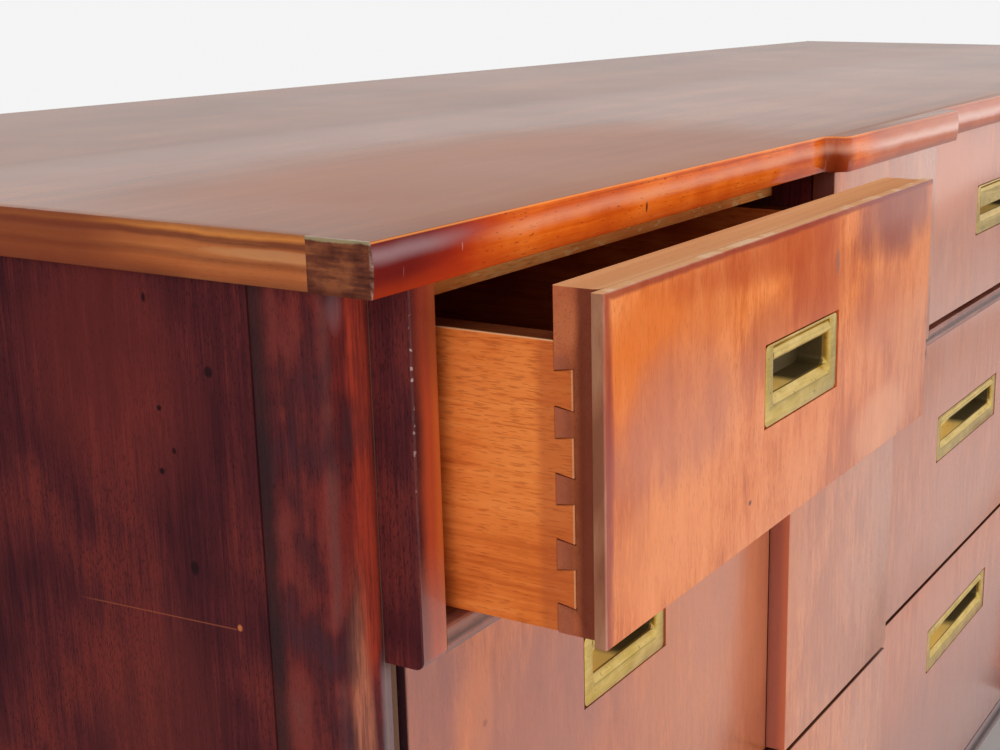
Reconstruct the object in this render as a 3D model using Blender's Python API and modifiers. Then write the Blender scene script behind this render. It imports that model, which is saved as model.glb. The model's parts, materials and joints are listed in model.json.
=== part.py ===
# A block-fronted dresser of nine drawers with flush brass pulls.
# Metres, +Z up, front towards -Y. Its top left drawer stands a little open.
import math

import bmesh
import bpy
from mathutils import Matrix, Vector

# Overall sizes
TOP_LONG = 1.585
TOP_DEEP = 0.508
HIGH = 0.775
LEG_HIGH = 0.171
GAP = 0.0003
OVERRUN = 0.002
WELD = 0.000001
ARC_STEPS = 5

# The top: a board, a front moulding with a shallow bulged face, and a strip on each end
TOP_THICK = 0.019
MOULDING_DEEP = 0.0275
NOSE_BULGE = 0.001
NOSE_STEPS = 6
END_STRIP = 0.006
FRONT_OVERHANG = 0.0116
BACK_OVERHANG = 0.008
BLOCK_PROUD = 0.012
TOP_LAP = 0.011
LUMP_ROUND = 0.007
LUMP_HOLLOW = 0.0045

# Corner columns, which run down as legs
COLUMN_INSET = 0.0086
COLUMN_ROUND = 0.028
COLUMN_SETBACK = 0.018
POST_STILE = 0.0074
POST_DEEP = 0.0323
BACK_POST_DEEP = 0.045
BACK_POST_ROUND = 0.008

# Frieze frame that holds the top row of drawers
FRAME_INSET = 0.0332
FRAME_STILE = 0.0147
FRIEZE_HIGH = 0.1338
RAIL_HIGH = 0.0122
RAIL_ROUND = 0.004
RAIL_STEPS = 2
ARRIS = 0.0015
ARRIS_STEPS = 2
INNER_RAIL_SETBACK = 0.0254
INNER_RAIL_DEEP = 0.025
INNER_RAIL_HIGH = 0.016

# Lower case
TIER_STEP = 0.0215
BASE_RAIL_HIGH = 0.0215
BASE_RAIL_DEEP = 0.024
BOTTOM_THICK = 0.012
SIDE_INSET = 0.008
SIDE_THICK = 0.018
BACK_THICK = 0.008
BACK_REBATE = 0.004
LEFT_BAY = 0.351
DIVIDER_THICK = 0.022
BLOCK_SEAT = 0.0018

# Drawer runners and guides, worked on the sides and dividers
RUNNER_THICK = 0.010
RUNNER_REACH = 0.0135
GUIDE_HIGH = 0.020
RUNNER_END = 0.006

# Drawer fronts
ROW_GAP = 0.003
FRONT_TOP_PLAY = 0.0014
FRONT_FOOT_PLAY = 0.0036
FRONT_END_PLAY = 0.0025
BLOCK_PLAY = 0.0019
BLOCK_LAP = 0.0006
FRONT_THICK = 0.0243
FACING_THICK = 0.0055
CORE_SET = 0.0061
CORE_PLAY = 0.003
BLOCK_WIDE = 0.1778
DRAWER_OPEN = 0.068

# Drawer boxes
BOX_WALL = 0.012
BOX_FLOOR = 0.006
BOX_FLOOR_LIFT = 0.007
BOX_LIFT = 0.0005
BOX_DROP = 0.0195
BOX_END_PLAY = 0.010
BACK_DROP = 0.006
TAIL_LONG = 0.0078
TAIL_WIDE = 0.0137
TAIL_FLARE = 0.0014
TAIL_PITCH = 0.0247
TAIL_COUNT = 4

# Flush pulls
PULL_WIDE = 0.0795
PULL_WIDE_CENTRE = 0.1551
PULL_HIGH = 0.0353
PULL_ROUND = 0.0025
PLATE_THICK = 0.0022
SIDE_BORDER = 0.0075
FOOT_BORDER = 0.012
FOOT_BEVEL = 0.004
BEVEL_DEEP = 0.003
CUP_ROUND = 0.004
CUP_WALL = 0.0012
CUP_DEEP = 0.016
CUP_ROOF = 0.0012
MORTISE_PLAY = 0.0004
SEAT_PLAY = 0.0006
FLAP_HIGH = 0.0146
FLAP_THICK = 0.0016
FLAP_PLAY = 0.0005
KNUCKLE_RADIUS = 0.0035
KNUCKLE_WIDE = 0.0068
KNUCKLE_EASE = 0.00015
KNUCKLE_SIDES = 12
KNUCKLE_TURN = math.radians(10)
ROLL_STEPS = 3
FLAP_PUSHED_IN = math.radians(80)
# Heights of the pulls' lower edges above their drawer fronts' lower edges
SMALL_PULL_LIFT = {"top": 0.0475, "middle": 0.1211, "bottom": 0.1257}
CENTRE_PULL_LIFT = {"top": 0.0486, "middle": 0.0933, "bottom": 0.1258}
PUSHED_IN = ("top_left", "middle_left", "middle_centre", "bottom_centre")

# Places worked out from the sizes: x from the top's left end, y from its front edge, z from the floor
TOP_UNDER = HIGH - TOP_THICK
FRIEZE_FACE = FRONT_OVERHANG
LOWER_FACE = FRIEZE_FACE + TIER_STEP
COLUMN_FACE = FRIEZE_FACE + COLUMN_SETBACK
POST_EDGE = COLUMN_INSET + COLUMN_ROUND + POST_STILE
POST_BACK = COLUMN_FACE + POST_DEEP
CASE_BACK = TOP_DEEP - BACK_OVERHANG
BACK_PANEL_FACE = CASE_BACK - BACK_REBATE - BACK_THICK
FRAME_EDGE = FRAME_INSET + FRAME_STILE
RAIL_TOP = TOP_UNDER - FRIEZE_HIGH
RAIL_UNDER = RAIL_TOP - RAIL_HIGH
BASE_RAIL_TOP = LEG_HIGH + BASE_RAIL_HIGH
BOTTOM_TOP = LEG_HIGH + BOTTOM_THICK
DIVIDER_LEFT = FRAME_EDGE + LEFT_BAY
DIVIDER_RIGHT = DIVIDER_LEFT + DIVIDER_THICK
BLOCK_BACK = DIVIDER_LEFT + BLOCK_WIDE
ROW_HIGH = (RAIL_UNDER - BASE_RAIL_TOP - FRONT_TOP_PLAY * 2 - ROW_GAP) / 2
ROWS = {
    "top": (FRIEZE_FACE, RAIL_TOP + FRONT_FOOT_PLAY, TOP_UNDER - FRONT_TOP_PLAY),
    "middle": (LOWER_FACE, RAIL_UNDER - FRONT_TOP_PLAY - ROW_HIGH, RAIL_UNDER - FRONT_TOP_PLAY),
    "bottom": (LOWER_FACE, BASE_RAIL_TOP + FRONT_TOP_PLAY, BASE_RAIL_TOP + FRONT_TOP_PLAY + ROW_HIGH),
}
FRONT_LEFT = FRAME_EDGE + FRONT_END_PLAY
FRONT_RIGHT = DIVIDER_LEFT - BLOCK_PLAY
BOX_BACK = BACK_PANEL_FACE - BOX_END_PLAY
ORIGIN_Y = (TOP_DEEP + FRIEZE_FACE - DRAWER_OPEN) / 2

for old in list(bpy.data.objects):
    bpy.data.objects.remove(old, do_unlink=True)
parts = bpy.data.collections.new("dresser")
cutters = bpy.data.collections.new("cutters")
bpy.context.scene.collection.children.link(parts)
bpy.context.scene.collection.children.link(cutters)


def finish(name, colour, roughness, metallic=0.0):
    material = bpy.data.materials.new(name)
    material.use_nodes = True
    shader = material.node_tree.nodes["Principled BSDF"]
    shader.inputs["Base Color"].default_value = (*colour, 1.0)
    shader.inputs["Roughness"].default_value = roughness
    shader.inputs["Metallic"].default_value = metallic
    return material


case_wood = finish("case_wood", (0.16, 0.045, 0.03), 0.35)
front_wood = finish("front_wood", (0.42, 0.15, 0.08), 0.35)
top_wood = finish("top_wood", (0.30, 0.09, 0.04), 0.25)
strip_wood = finish("strip_wood", (0.55, 0.22, 0.08), 0.35)
drawer_wood = finish("drawer_wood", (0.62, 0.28, 0.10), 0.55)
brass = finish("brass", (0.62, 0.52, 0.24), 0.3, 1.0)


def world(x, y, z):
    return Vector((x - TOP_LONG / 2, y - ORIGIN_Y, z))


def add(name, mesh, place, material, parent=None):
    piece = bpy.data.objects.new(name, mesh)
    piece.data.materials.clear()
    piece.data.materials.append(material)
    parts.objects.link(piece)
    piece.location = place
    if parent:
        piece.parent = parent
        piece.location = place - parent.location
    return piece


def as_cutter(piece):
    for collection in list(piece.users_collection):
        collection.objects.unlink(piece)
    cutters.objects.link(piece)
    piece.hide_render = True
    piece.display_type = "WIRE"
    return piece


def box(name, low, high, material, parent=None):
    size = [b - a for a, b in zip(low, high)]
    middle = [(a + b) / 2 for a, b in zip(low, high)]
    work = bmesh.new()
    bmesh.ops.create_cube(work, size=1.0, matrix=Matrix.Diagonal((*size, 1.0)))
    mesh = bpy.data.meshes.new(name)
    work.to_mesh(mesh)
    work.free()
    return add(name, mesh, world(*middle), material, parent)


# How an outline's own two directions and its thickness lie: the outline of a piece extruded along X
# is given as (y, z), along Y as (z, x) and along Z as (x, y)
LIE = {
    "X": Matrix(((0, 0, 1), (1, 0, 0), (0, 1, 0))),
    "Y": Matrix(((0, 1, 0), (0, 0, 1), (1, 0, 0))),
    "Z": Matrix.Identity(3),
}


def prism_mesh(name, outline, axis, thick):
    curve = bpy.data.curves.new(name, "CURVE")
    curve.dimensions = "2D"
    curve.fill_mode = "BOTH"
    curve.extrude = thick / 2
    spline = curve.splines.new("POLY")
    spline.points.add(len(outline) - 1)
    for point, (u, v) in zip(spline.points, outline):
        point.co = (u, v, 0.0, 1.0)
    spline.use_cyclic_u = True
    carrier = bpy.data.objects.new(name, curve)
    parts.objects.link(carrier)
    bpy.context.view_layer.update()
    mesh = bpy.data.meshes.new_from_object(carrier.evaluated_get(bpy.context.evaluated_depsgraph_get()))
    bpy.data.objects.remove(carrier, do_unlink=True)
    work = bmesh.new()
    work.from_mesh(mesh)
    bmesh.ops.remove_doubles(work, verts=work.verts, dist=WELD)
    bmesh.ops.recalc_face_normals(work, faces=work.faces)
    work.to_mesh(mesh)
    work.free()
    mesh.transform(LIE[axis].to_4x4())
    mesh.name = name
    return mesh


def prism(name, outline, axis, start, end, material, parent=None):
    # The outline is in the case's own places; the object's origin is half way along its thickness
    mesh = prism_mesh(name, outline, axis, end - start)
    middle = {"X": ((start + end) / 2, 0, 0), "Y": (0, (start + end) / 2, 0), "Z": (0, 0, (start + end) / 2)}
    return add(name, mesh, world(*middle[axis]), material, parent)


def cylinder_along_x(name, radius, long, sides):
    work = bmesh.new()
    turned = Matrix.Rotation(KNUCKLE_TURN, 4, "X") @ Matrix.Rotation(math.pi / 2, 4, "Y")
    bmesh.ops.create_cone(
        work, cap_ends=True, segments=sides, radius1=radius, radius2=radius, depth=long, matrix=turned
    )
    mesh = bpy.data.meshes.new(name)
    work.to_mesh(mesh)
    work.free()
    return mesh


def rounded(points):
    # A closed outline from corners (u, v, radius), each round corner drawn as an arc
    outline = []
    for i, (u, v, radius) in enumerate(points):
        here = Vector((u, v))
        if not radius:
            outline.append((u, v))
            continue
        before = (Vector(points[i - 1][:2]) - here).normalized()
        after = (Vector(points[(i + 1) % len(points)][:2]) - here).normalized()
        half = before.angle(after) / 2
        centre = here + (before + after).normalized() * (radius / math.sin(half))
        first = here + before * (radius / math.tan(half)) - centre
        last = here + after * (radius / math.tan(half)) - centre
        start = math.atan2(first.y, first.x)
        turn = math.atan2(first.cross(last), first.dot(last))
        for step in range(ARC_STEPS + 1):
            angle = start + turn * step / ARC_STEPS
            outline.append((centre.x + radius * math.cos(angle), centre.y + radius * math.sin(angle)))
    return outline


def soften(piece, width, steps):
    bevel = piece.modifiers.new("arris", "BEVEL")
    bevel.width = width
    bevel.segments = steps
    bevel.limit_method = "ANGLE"
    return piece


def combine(piece, other, operation="DIFFERENCE"):
    cut = piece.modifiers.new(other.name, "BOOLEAN")
    cut.operation = operation
    cut.solver = "EXACT"
    cut.object = other
    return piece


def mirrored(outline):
    return [(TOP_LONG - x, y, *rest) for x, y, *rest in reversed(outline)]


def sided(low, high, right):
    # The same box on the left or the right half of the case
    if not right:
        return low, high
    return (TOP_LONG - high[0], *low[1:]), (TOP_LONG - low[0], *high[1:])


SIDES = (("left", False), ("right", True))


def stepped_front(face, left, right, lap, corner, hollow=0.0):
    # The front edge of a piece that follows the blocks, from left to right
    steps = [(left, face, 0)]
    for start, end in ((DIVIDER_LEFT, BLOCK_BACK), (TOP_LONG - BLOCK_BACK, TOP_LONG - DIVIDER_LEFT)):
        steps += [
            (start - lap, face, hollow),
            (start - lap, face - BLOCK_PROUD, corner),
            (end + lap, face - BLOCK_PROUD, corner),
            (end + lap, face, hollow),
        ]
    return steps + [(right, face, 0)]


def make_lofted_board(name, face, ends, back, lap, corners, profile, place_z, material):
    # A board whose front edge follows the blocks, lofted from outlines that draw back by an inset
    # at each height of the profile
    corner, hollow = corners
    work = bmesh.new()
    rings = []
    left, right = ends
    for inset, z in profile:
        hollow_here = hollow + inset if hollow else 0.0
        front = stepped_front(face + inset, left, right, lap - inset, max(corner - inset, GAP), hollow_here)
        outline = rounded(front + [(right, back, 0), (left, back, 0)])
        rings.append([work.verts.new((x, y, z)) for x, y in outline])
    for lower, upper in zip(rings, rings[1:]):
        for i in range(len(lower)):
            work.faces.new((lower[i - 1], lower[i], upper[i], upper[i - 1]))
    work.faces.new(rings[0][::-1])
    work.faces.new(rings[-1])
    bmesh.ops.recalc_face_normals(work, faces=work.faces)
    mesh = bpy.data.meshes.new(name)
    work.to_mesh(mesh)
    work.free()
    return add(name, mesh, world(0.0, 0.0, place_z), material)


def round_profile(radius, start, turn, steps, lift=0.0):
    # Insets and heights around an arc, from the angle start through turn
    angles = [start + turn * step / steps for step in range(steps + 1)]
    return [(radius * (1 - math.cos(angle)), lift + radius * math.sin(angle)) for angle in angles]


def make_top():
    half = TOP_THICK / 2
    radius = (half ** 2 + NOSE_BULGE ** 2) / (2 * NOSE_BULGE)
    reach = math.asin(half / radius)
    make_lofted_board(
        "top_front_moulding",
        0.0,
        (0.0, TOP_LONG),
        MOULDING_DEEP,
        TOP_LAP,
        (LUMP_ROUND, LUMP_HOLLOW),
        round_profile(radius, -reach, reach * 2, NOSE_STEPS),
        TOP_UNDER + half,
        top_wood,
    )
    behind = MOULDING_DEEP + GAP
    box(
        "top_panel",
        (END_STRIP + GAP, behind, TOP_UNDER),
        (TOP_LONG - END_STRIP - GAP, TOP_DEEP, HIGH),
        top_wood,
    )
    for side, right in SIDES:
        low, high = sided((0.0, behind, TOP_UNDER), (END_STRIP, TOP_DEEP, HIGH), right)
        box("top_end_strip_" + side, low, high, strip_wood)


def make_posts():
    centre_x = COLUMN_INSET + COLUMN_ROUND
    front = [
        (COLUMN_INSET, POST_BACK, 0),
        (COLUMN_INSET, COLUMN_FACE, COLUMN_ROUND),
        (centre_x, COLUMN_FACE, 0),
        (centre_x, LOWER_FACE, 0),
        (POST_EDGE, LOWER_FACE, 0),
        (POST_EDGE, POST_BACK, 0),
    ]
    back = [
        (COLUMN_INSET, CASE_BACK - BACK_POST_DEEP, 0),
        (POST_EDGE, CASE_BACK - BACK_POST_DEEP, 0),
        (POST_EDGE, CASE_BACK, 0),
        (COLUMN_INSET, CASE_BACK, BACK_POST_ROUND),
    ]
    for side, right in SIDES:
        for name, corners in (("post_front_", front), ("post_back_", back)):
            turned = mirrored(corners) if right else corners
            prism(name + side, rounded(turned), "Z", 0.0, TOP_UNDER - GAP, case_wood)


def add_runners(panel, name, face, guide, sign, y_low, y_high):
    # A guide and a runner for each drawer beside this face; sign is +1 where they stand out towards +X
    root = face - sign * OVERRUN
    toe = guide + sign * RUNNER_REACH
    for row in ROWS:
        seat = ROWS[row][1] + BOX_LIFT - GAP
        section = [
            (seat + GUIDE_HIGH, root),
            (seat + GUIDE_HIGH, guide),
            (seat, guide),
            (seat, toe),
            (seat - RUNNER_THICK, toe),
            (seat - RUNNER_THICK, root),
        ]
        strip = prism(f"{name}_runner_{row}", section, "Y", y_low, y_high, case_wood)
        combine(panel, as_cutter(strip), "UNION")


def make_sides():
    inner = SIDE_INSET + SIDE_THICK
    guide = FRONT_LEFT + CORE_SET - GAP
    start = POST_BACK + GAP
    end = CASE_BACK - BACK_POST_DEEP - GAP
    for side, right in SIDES:
        low, high = sided((SIDE_INSET, start, LEG_HIGH), (inner, end, TOP_UNDER - GAP), right)
        name = "side_panel_" + side
        panel = box(name, low, high, case_wood)
        edges = (TOP_LONG - inner, TOP_LONG - guide, -1) if right else (inner, guide, 1)
        add_runners(panel, name, *edges, start + RUNNER_END, end - RUNNER_END)


def make_dividers():
    outer_guide = FRONT_RIGHT - CORE_SET + GAP
    inner_guide = DIVIDER_RIGHT + CORE_PLAY + CORE_SET - GAP
    foot = BOTTOM_TOP + GAP
    back = BACK_PANEL_FACE - GAP
    # The front edge stands forward in the frieze, behind the blocks' overlay
    profile = [
        (FRIEZE_FACE + BLOCK_SEAT, TOP_UNDER - GAP),
        (FRIEZE_FACE + BLOCK_SEAT, RAIL_TOP + GAP),
        (LOWER_FACE + BLOCK_SEAT, RAIL_TOP + GAP),
        (LOWER_FACE + BLOCK_SEAT, BASE_RAIL_TOP + GAP),
        (LOWER_FACE + BASE_RAIL_DEEP + GAP, BASE_RAIL_TOP + GAP),
        (LOWER_FACE + BASE_RAIL_DEEP + GAP, foot),
        (back, foot),
        (back, TOP_UNDER - GAP),
    ]
    rail_back = FRIEZE_FACE + INNER_RAIL_SETBACK + INNER_RAIL_DEEP
    y_low, y_high = POST_BACK + RUNNER_END, back - RUNNER_END
    for side, right in SIDES:
        name = "divider_" + side
        flanks = [(DIVIDER_LEFT, outer_guide, -1), (DIVIDER_RIGHT, inner_guide, 1)]
        if right:
            flanks = [(TOP_LONG - face, TOP_LONG - guide, -sign) for face, guide, sign in flanks]
        faces = sorted(face for face, _, _ in flanks)
        divider = prism(name, profile, "X", *faces, case_wood)
        for face, guide, sign in flanks:
            flank = f"{name}_{'right' if sign > 0 else 'left'}"
            add_runners(divider, flank, face, guide, sign, y_low, y_high)
        notch = box(
            name + "_notch",
            (
                faces[0] - OVERRUN,
                FRIEZE_FACE + INNER_RAIL_SETBACK - GAP,
                TOP_UNDER - INNER_RAIL_HIGH - GAP * 2,
            ),
            (faces[1] + OVERRUN, rail_back + GAP, TOP_UNDER + OVERRUN),
            case_wood,
        )
        combine(divider, as_cutter(notch))


def make_rails():
    back = COLUMN_FACE - GAP
    make_lofted_board(
        "frieze_rail",
        FRIEZE_FACE,
        (FRAME_EDGE + GAP, TOP_LONG - FRAME_EDGE - GAP),
        back,
        0.0,
        (ARRIS, 0.0),
        round_profile(RAIL_ROUND, -math.pi / 2, math.pi / 2, RAIL_STEPS, RAIL_ROUND) + [(0.0, RAIL_HIGH)],
        RAIL_UNDER,
        case_wood,
    )
    for side, right in SIDES:
        low, high = sided(
            (FRAME_INSET, FRIEZE_FACE, RAIL_UNDER), (FRAME_EDGE, back, TOP_UNDER - GAP), right
        )
        soften(box("frieze_stile_" + side, low, high, case_wood), ARRIS, ARRIS_STEPS)
    rail_front = FRIEZE_FACE + INNER_RAIL_SETBACK
    box(
        "inner_top_rail",
        (POST_EDGE + GAP, rail_front, TOP_UNDER - GAP - INNER_RAIL_HIGH),
        (TOP_LONG - POST_EDGE - GAP, rail_front + INNER_RAIL_DEEP, TOP_UNDER - GAP),
        drawer_wood,
    )
    front = stepped_front(LOWER_FACE, POST_EDGE + GAP, TOP_LONG - POST_EDGE - GAP, 0.0, ARRIS)
    base_back = LOWER_FACE + BASE_RAIL_DEEP
    outline = rounded(
        front + [(TOP_LONG - POST_EDGE - GAP, base_back, 0), (POST_EDGE + GAP, base_back, 0)]
    )
    prism("base_rail", outline, "Z", LEG_HIGH, BASE_RAIL_TOP, case_wood)


def make_case_panels():
    inner = SIDE_INSET + SIDE_THICK + GAP
    post = POST_EDGE + GAP
    front = LOWER_FACE + BASE_RAIL_DEEP + GAP
    back = BACK_PANEL_FACE - GAP
    notch_front = POST_BACK + GAP
    notch_back = CASE_BACK - BACK_POST_DEEP - GAP
    left = [
        (post, back, 0),
        (post, notch_back, 0),
        (inner, notch_back, 0),
        (inner, notch_front, 0),
        (post, notch_front, 0),
        (post, front, 0),
    ]
    outline = rounded(left + mirrored(left))
    prism("bottom_panel", outline, "Z", LEG_HIGH, BOTTOM_TOP, drawer_wood)
    box(
        "back_panel",
        (post, BACK_PANEL_FACE, LEG_HIGH),
        (TOP_LONG - post, BACK_PANEL_FACE + BACK_THICK, TOP_UNDER - GAP),
        drawer_wood,
    )


def shifted(outline, along, up):
    return [(u + along, v + up) for u, v in outline]


def pull_cutters(name, wide, middle, face, foot, front_depth, parent):
    # The mortise: a shallow seat for the plate and a deep pocket for the cup
    half = wide / 2
    seat = box(
        name + "_seat",
        (middle - half - SEAT_PLAY, face - OVERRUN, foot - SEAT_PLAY),
        (middle + half + SEAT_PLAY, face + PLATE_THICK + GAP, foot + PULL_HIGH + SEAT_PLAY),
        brass,
        parent,
    )
    cup = half - SIDE_BORDER + CUP_WALL + MORTISE_PLAY
    cup_foot = foot + FOOT_BORDER - FOOT_BEVEL - CUP_WALL - MORTISE_PLAY
    pocket = box(
        name + "_pocket",
        (middle - cup, face - OVERRUN, cup_foot),
        (middle + cup, face + min(CUP_DEEP + CUP_WALL * 2, front_depth), foot + PULL_HIGH + MORTISE_PLAY),
        brass,
        parent,
    )
    return as_cutter(seat), as_cutter(pocket)


def make_pull(name, wide, middle, face, foot, parent):
    half = wide / 2
    corner = PULL_ROUND
    plate = rounded(
        [
            (foot, middle - half, corner),
            (foot, middle + half, corner),
            (foot + PULL_HIGH, middle + half, corner),
            (foot + PULL_HIGH, middle - half, corner),
        ]
    )
    body = prism(name + "_pull_plate", plate, "Y", face, face + PLATE_THICK, brass, parent)
    inside = half - SIDE_BORDER
    cup_foot = foot + FOOT_BORDER - FOOT_BEVEL
    back = face + CUP_DEEP
    cup = box(
        name + "_cup",
        (middle - inside - CUP_WALL, face + PLATE_THICK / 2, cup_foot - CUP_WALL),
        (middle + inside + CUP_WALL, back + CUP_WALL, foot + PULL_HIGH - GAP),
        brass,
        parent,
    )
    combine(body, as_cutter(cup), "UNION")
    hollow = rounded(
        [
            (cup_foot + FOOT_BEVEL, middle - inside, CUP_ROUND),
            (cup_foot + FOOT_BEVEL, middle + inside, CUP_ROUND),
            (foot + PULL_HIGH - CUP_ROOF, middle + inside, 0),
            (foot + PULL_HIGH - CUP_ROOF, middle - inside, 0),
        ]
    )
    void = prism(name + "_void", hollow, "Y", face - OVERRUN, back, brass, parent)
    combine(body, as_cutter(void))
    # The slope along the foot of the opening
    slope = [
        (face - OVERRUN, cup_foot - FOOT_BEVEL * OVERRUN / BEVEL_DEEP),
        (face - OVERRUN, foot + FOOT_BORDER + OVERRUN),
        (face + BEVEL_DEEP, foot + FOOT_BORDER + OVERRUN),
        (face + BEVEL_DEEP, foot + FOOT_BORDER),
    ]
    reach = inside - CUP_ROUND / 2
    ramp = prism(name + "_ramp", slope, "X", middle - reach, middle + reach, brass, parent)
    combine(body, as_cutter(ramp))
    return body


def make_flap(name, wide, middle, face, foot, parent, pushed_in):
    # A plate that rolls over into a knuckle at each end; its origin is on the pivot
    pivot_down = CUP_ROOF + FLAP_PLAY + KNUCKLE_RADIUS
    pivot = world(middle, face + KNUCKLE_RADIUS, foot + PULL_HIGH - pivot_down)
    half = wide / 2 - SIDE_BORDER - FLAP_PLAY
    inner = KNUCKLE_RADIUS - FLAP_THICK
    outer_roll = []
    inner_roll = []
    for step in range(ROLL_STEPS + 1):
        angle = math.pi / 2 + math.pi / 2 * step / ROLL_STEPS
        outer_roll.append((KNUCKLE_RADIUS * math.cos(angle), KNUCKLE_RADIUS * math.sin(angle)))
        inner_roll.append((inner * math.cos(angle), inner * math.sin(angle)))
    foot_z = KNUCKLE_RADIUS - FLAP_HIGH
    section = outer_roll + [(-KNUCKLE_RADIUS, foot_z), (-inner, foot_z)] + inner_roll[::-1]
    mesh = prism_mesh(name + "_flap", section, "X", half * 2)
    flap = add(name + "_pull_flap", mesh, pivot, brass, parent)
    for end in (-1, 1):
        knuckle = add(
            f"{name}_knuckle_{'right' if end > 0 else 'left'}",
            cylinder_along_x(name + "_knuckle", KNUCKLE_RADIUS - KNUCKLE_EASE, KNUCKLE_WIDE, KNUCKLE_SIDES),
            Vector((end * (half - KNUCKLE_WIDE / 2 - KNUCKLE_EASE), 0, 0)),
            brass,
        )
        knuckle.parent = flap
        combine(flap, as_cutter(knuckle), "UNION")
    if pushed_in:
        flap.rotation_euler.x = FLAP_PUSHED_IN
    return flap


def tail_outline(y_root, grow, past_root=0.0):
    # One dovetail in (y, z) about its own middle height, its wide end towards the front
    root = TAIL_WIDE / 2 - TAIL_FLARE / 2 + grow
    tip = TAIL_WIDE / 2 + TAIL_FLARE / 2 + grow
    y_tip = y_root - TAIL_LONG - grow
    y_end = y_root + past_root
    return [(y_end, -root), (y_tip, -tip), (y_tip, tip), (y_end, root)]


def side_outline(front, back, low, high, middles):
    outline = [(front, low)]
    for z in middles:
        outline += shifted(tail_outline(front, 0.0), 0.0, z)
    return outline + [(front, high), (back, high), (back, low)]


def make_jointed_box(name, core, rear, low, high, parent):
    # The drawer whose joints show: dovetailed sides, a back and a bottom of their own
    middle = (low + high) / 2
    first = middle - TAIL_PITCH * (TAIL_COUNT - 1) / 2
    middles = [first + TAIL_PITCH * i for i in range(TAIL_COUNT)]
    front = rear + GAP
    left, right = core
    sides = (("left", left, left + BOX_WALL), ("right", right - BOX_WALL, right))
    sockets = []
    for side, x_low, x_high in sides:
        outline = side_outline(front, BOX_BACK, low, high, middles)
        prism(f"{name}_side_{side}", outline, "X", x_low, x_high, drawer_wood, parent)
        for i, z in enumerate(middles):
            grown = shifted(tail_outline(rear, GAP, OVERRUN), 0.0, z)
            reach = (x_low - OVERRUN, x_high + GAP) if side == "left" else (x_low - GAP, x_high + OVERRUN)
            socket = prism(f"{name}_socket_{side}_{i}", grown, "X", *reach, drawer_wood, parent)
            sockets.append(as_cutter(socket))
    inside = (left + BOX_WALL + GAP, right - BOX_WALL - GAP)
    floor = low + BOX_FLOOR_LIFT
    box(
        name + "_bottom",
        (inside[0], front, floor),
        (inside[1], BOX_BACK, floor + BOX_FLOOR),
        drawer_wood,
        parent,
    )
    box(
        name + "_back",
        (inside[0], BOX_BACK - BOX_WALL, floor + BOX_FLOOR + GAP),
        (inside[1], BOX_BACK, high - BACK_DROP),
        drawer_wood,
        parent,
    )
    return sockets


def make_box(name, core, rear, low, high, parent):
    # Sides, back and bottom glued up as one tray that the front closes
    tray = box(name + "_box", (core[0], rear + GAP, low), (core[1], BOX_BACK, high), drawer_wood, parent)
    inside = box(
        name + "_inside",
        (core[0] + BOX_WALL, rear - OVERRUN, low + BOX_FLOOR_LIFT + BOX_FLOOR),
        (core[1] - BOX_WALL, BOX_BACK - BOX_WALL, high + OVERRUN),
        drawer_wood,
        parent,
    )
    combine(tray, as_cutter(inside))
    under = box(
        name + "_under",
        (core[0] + BOX_WALL, rear - OVERRUN, low - OVERRUN),
        (core[1] - BOX_WALL, BOX_BACK + OVERRUN, low + BOX_FLOOR_LIFT),
        drawer_wood,
        parent,
    )
    combine(tray, as_cutter(under))


def block_front_outline(face):
    rear = face + FRONT_THICK
    core = DIVIDER_RIGHT + CORE_PLAY
    left = [
        (core, rear, 0),
        (core, face + BLOCK_LAP, 0),
        (DIVIDER_LEFT, face + BLOCK_LAP, 0),
        (DIVIDER_LEFT, face - BLOCK_PROUD, ARRIS),
        (BLOCK_BACK, face - BLOCK_PROUD, ARRIS),
        (BLOCK_BACK, face, 0),
    ]
    return rounded(left + mirrored(left))


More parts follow.
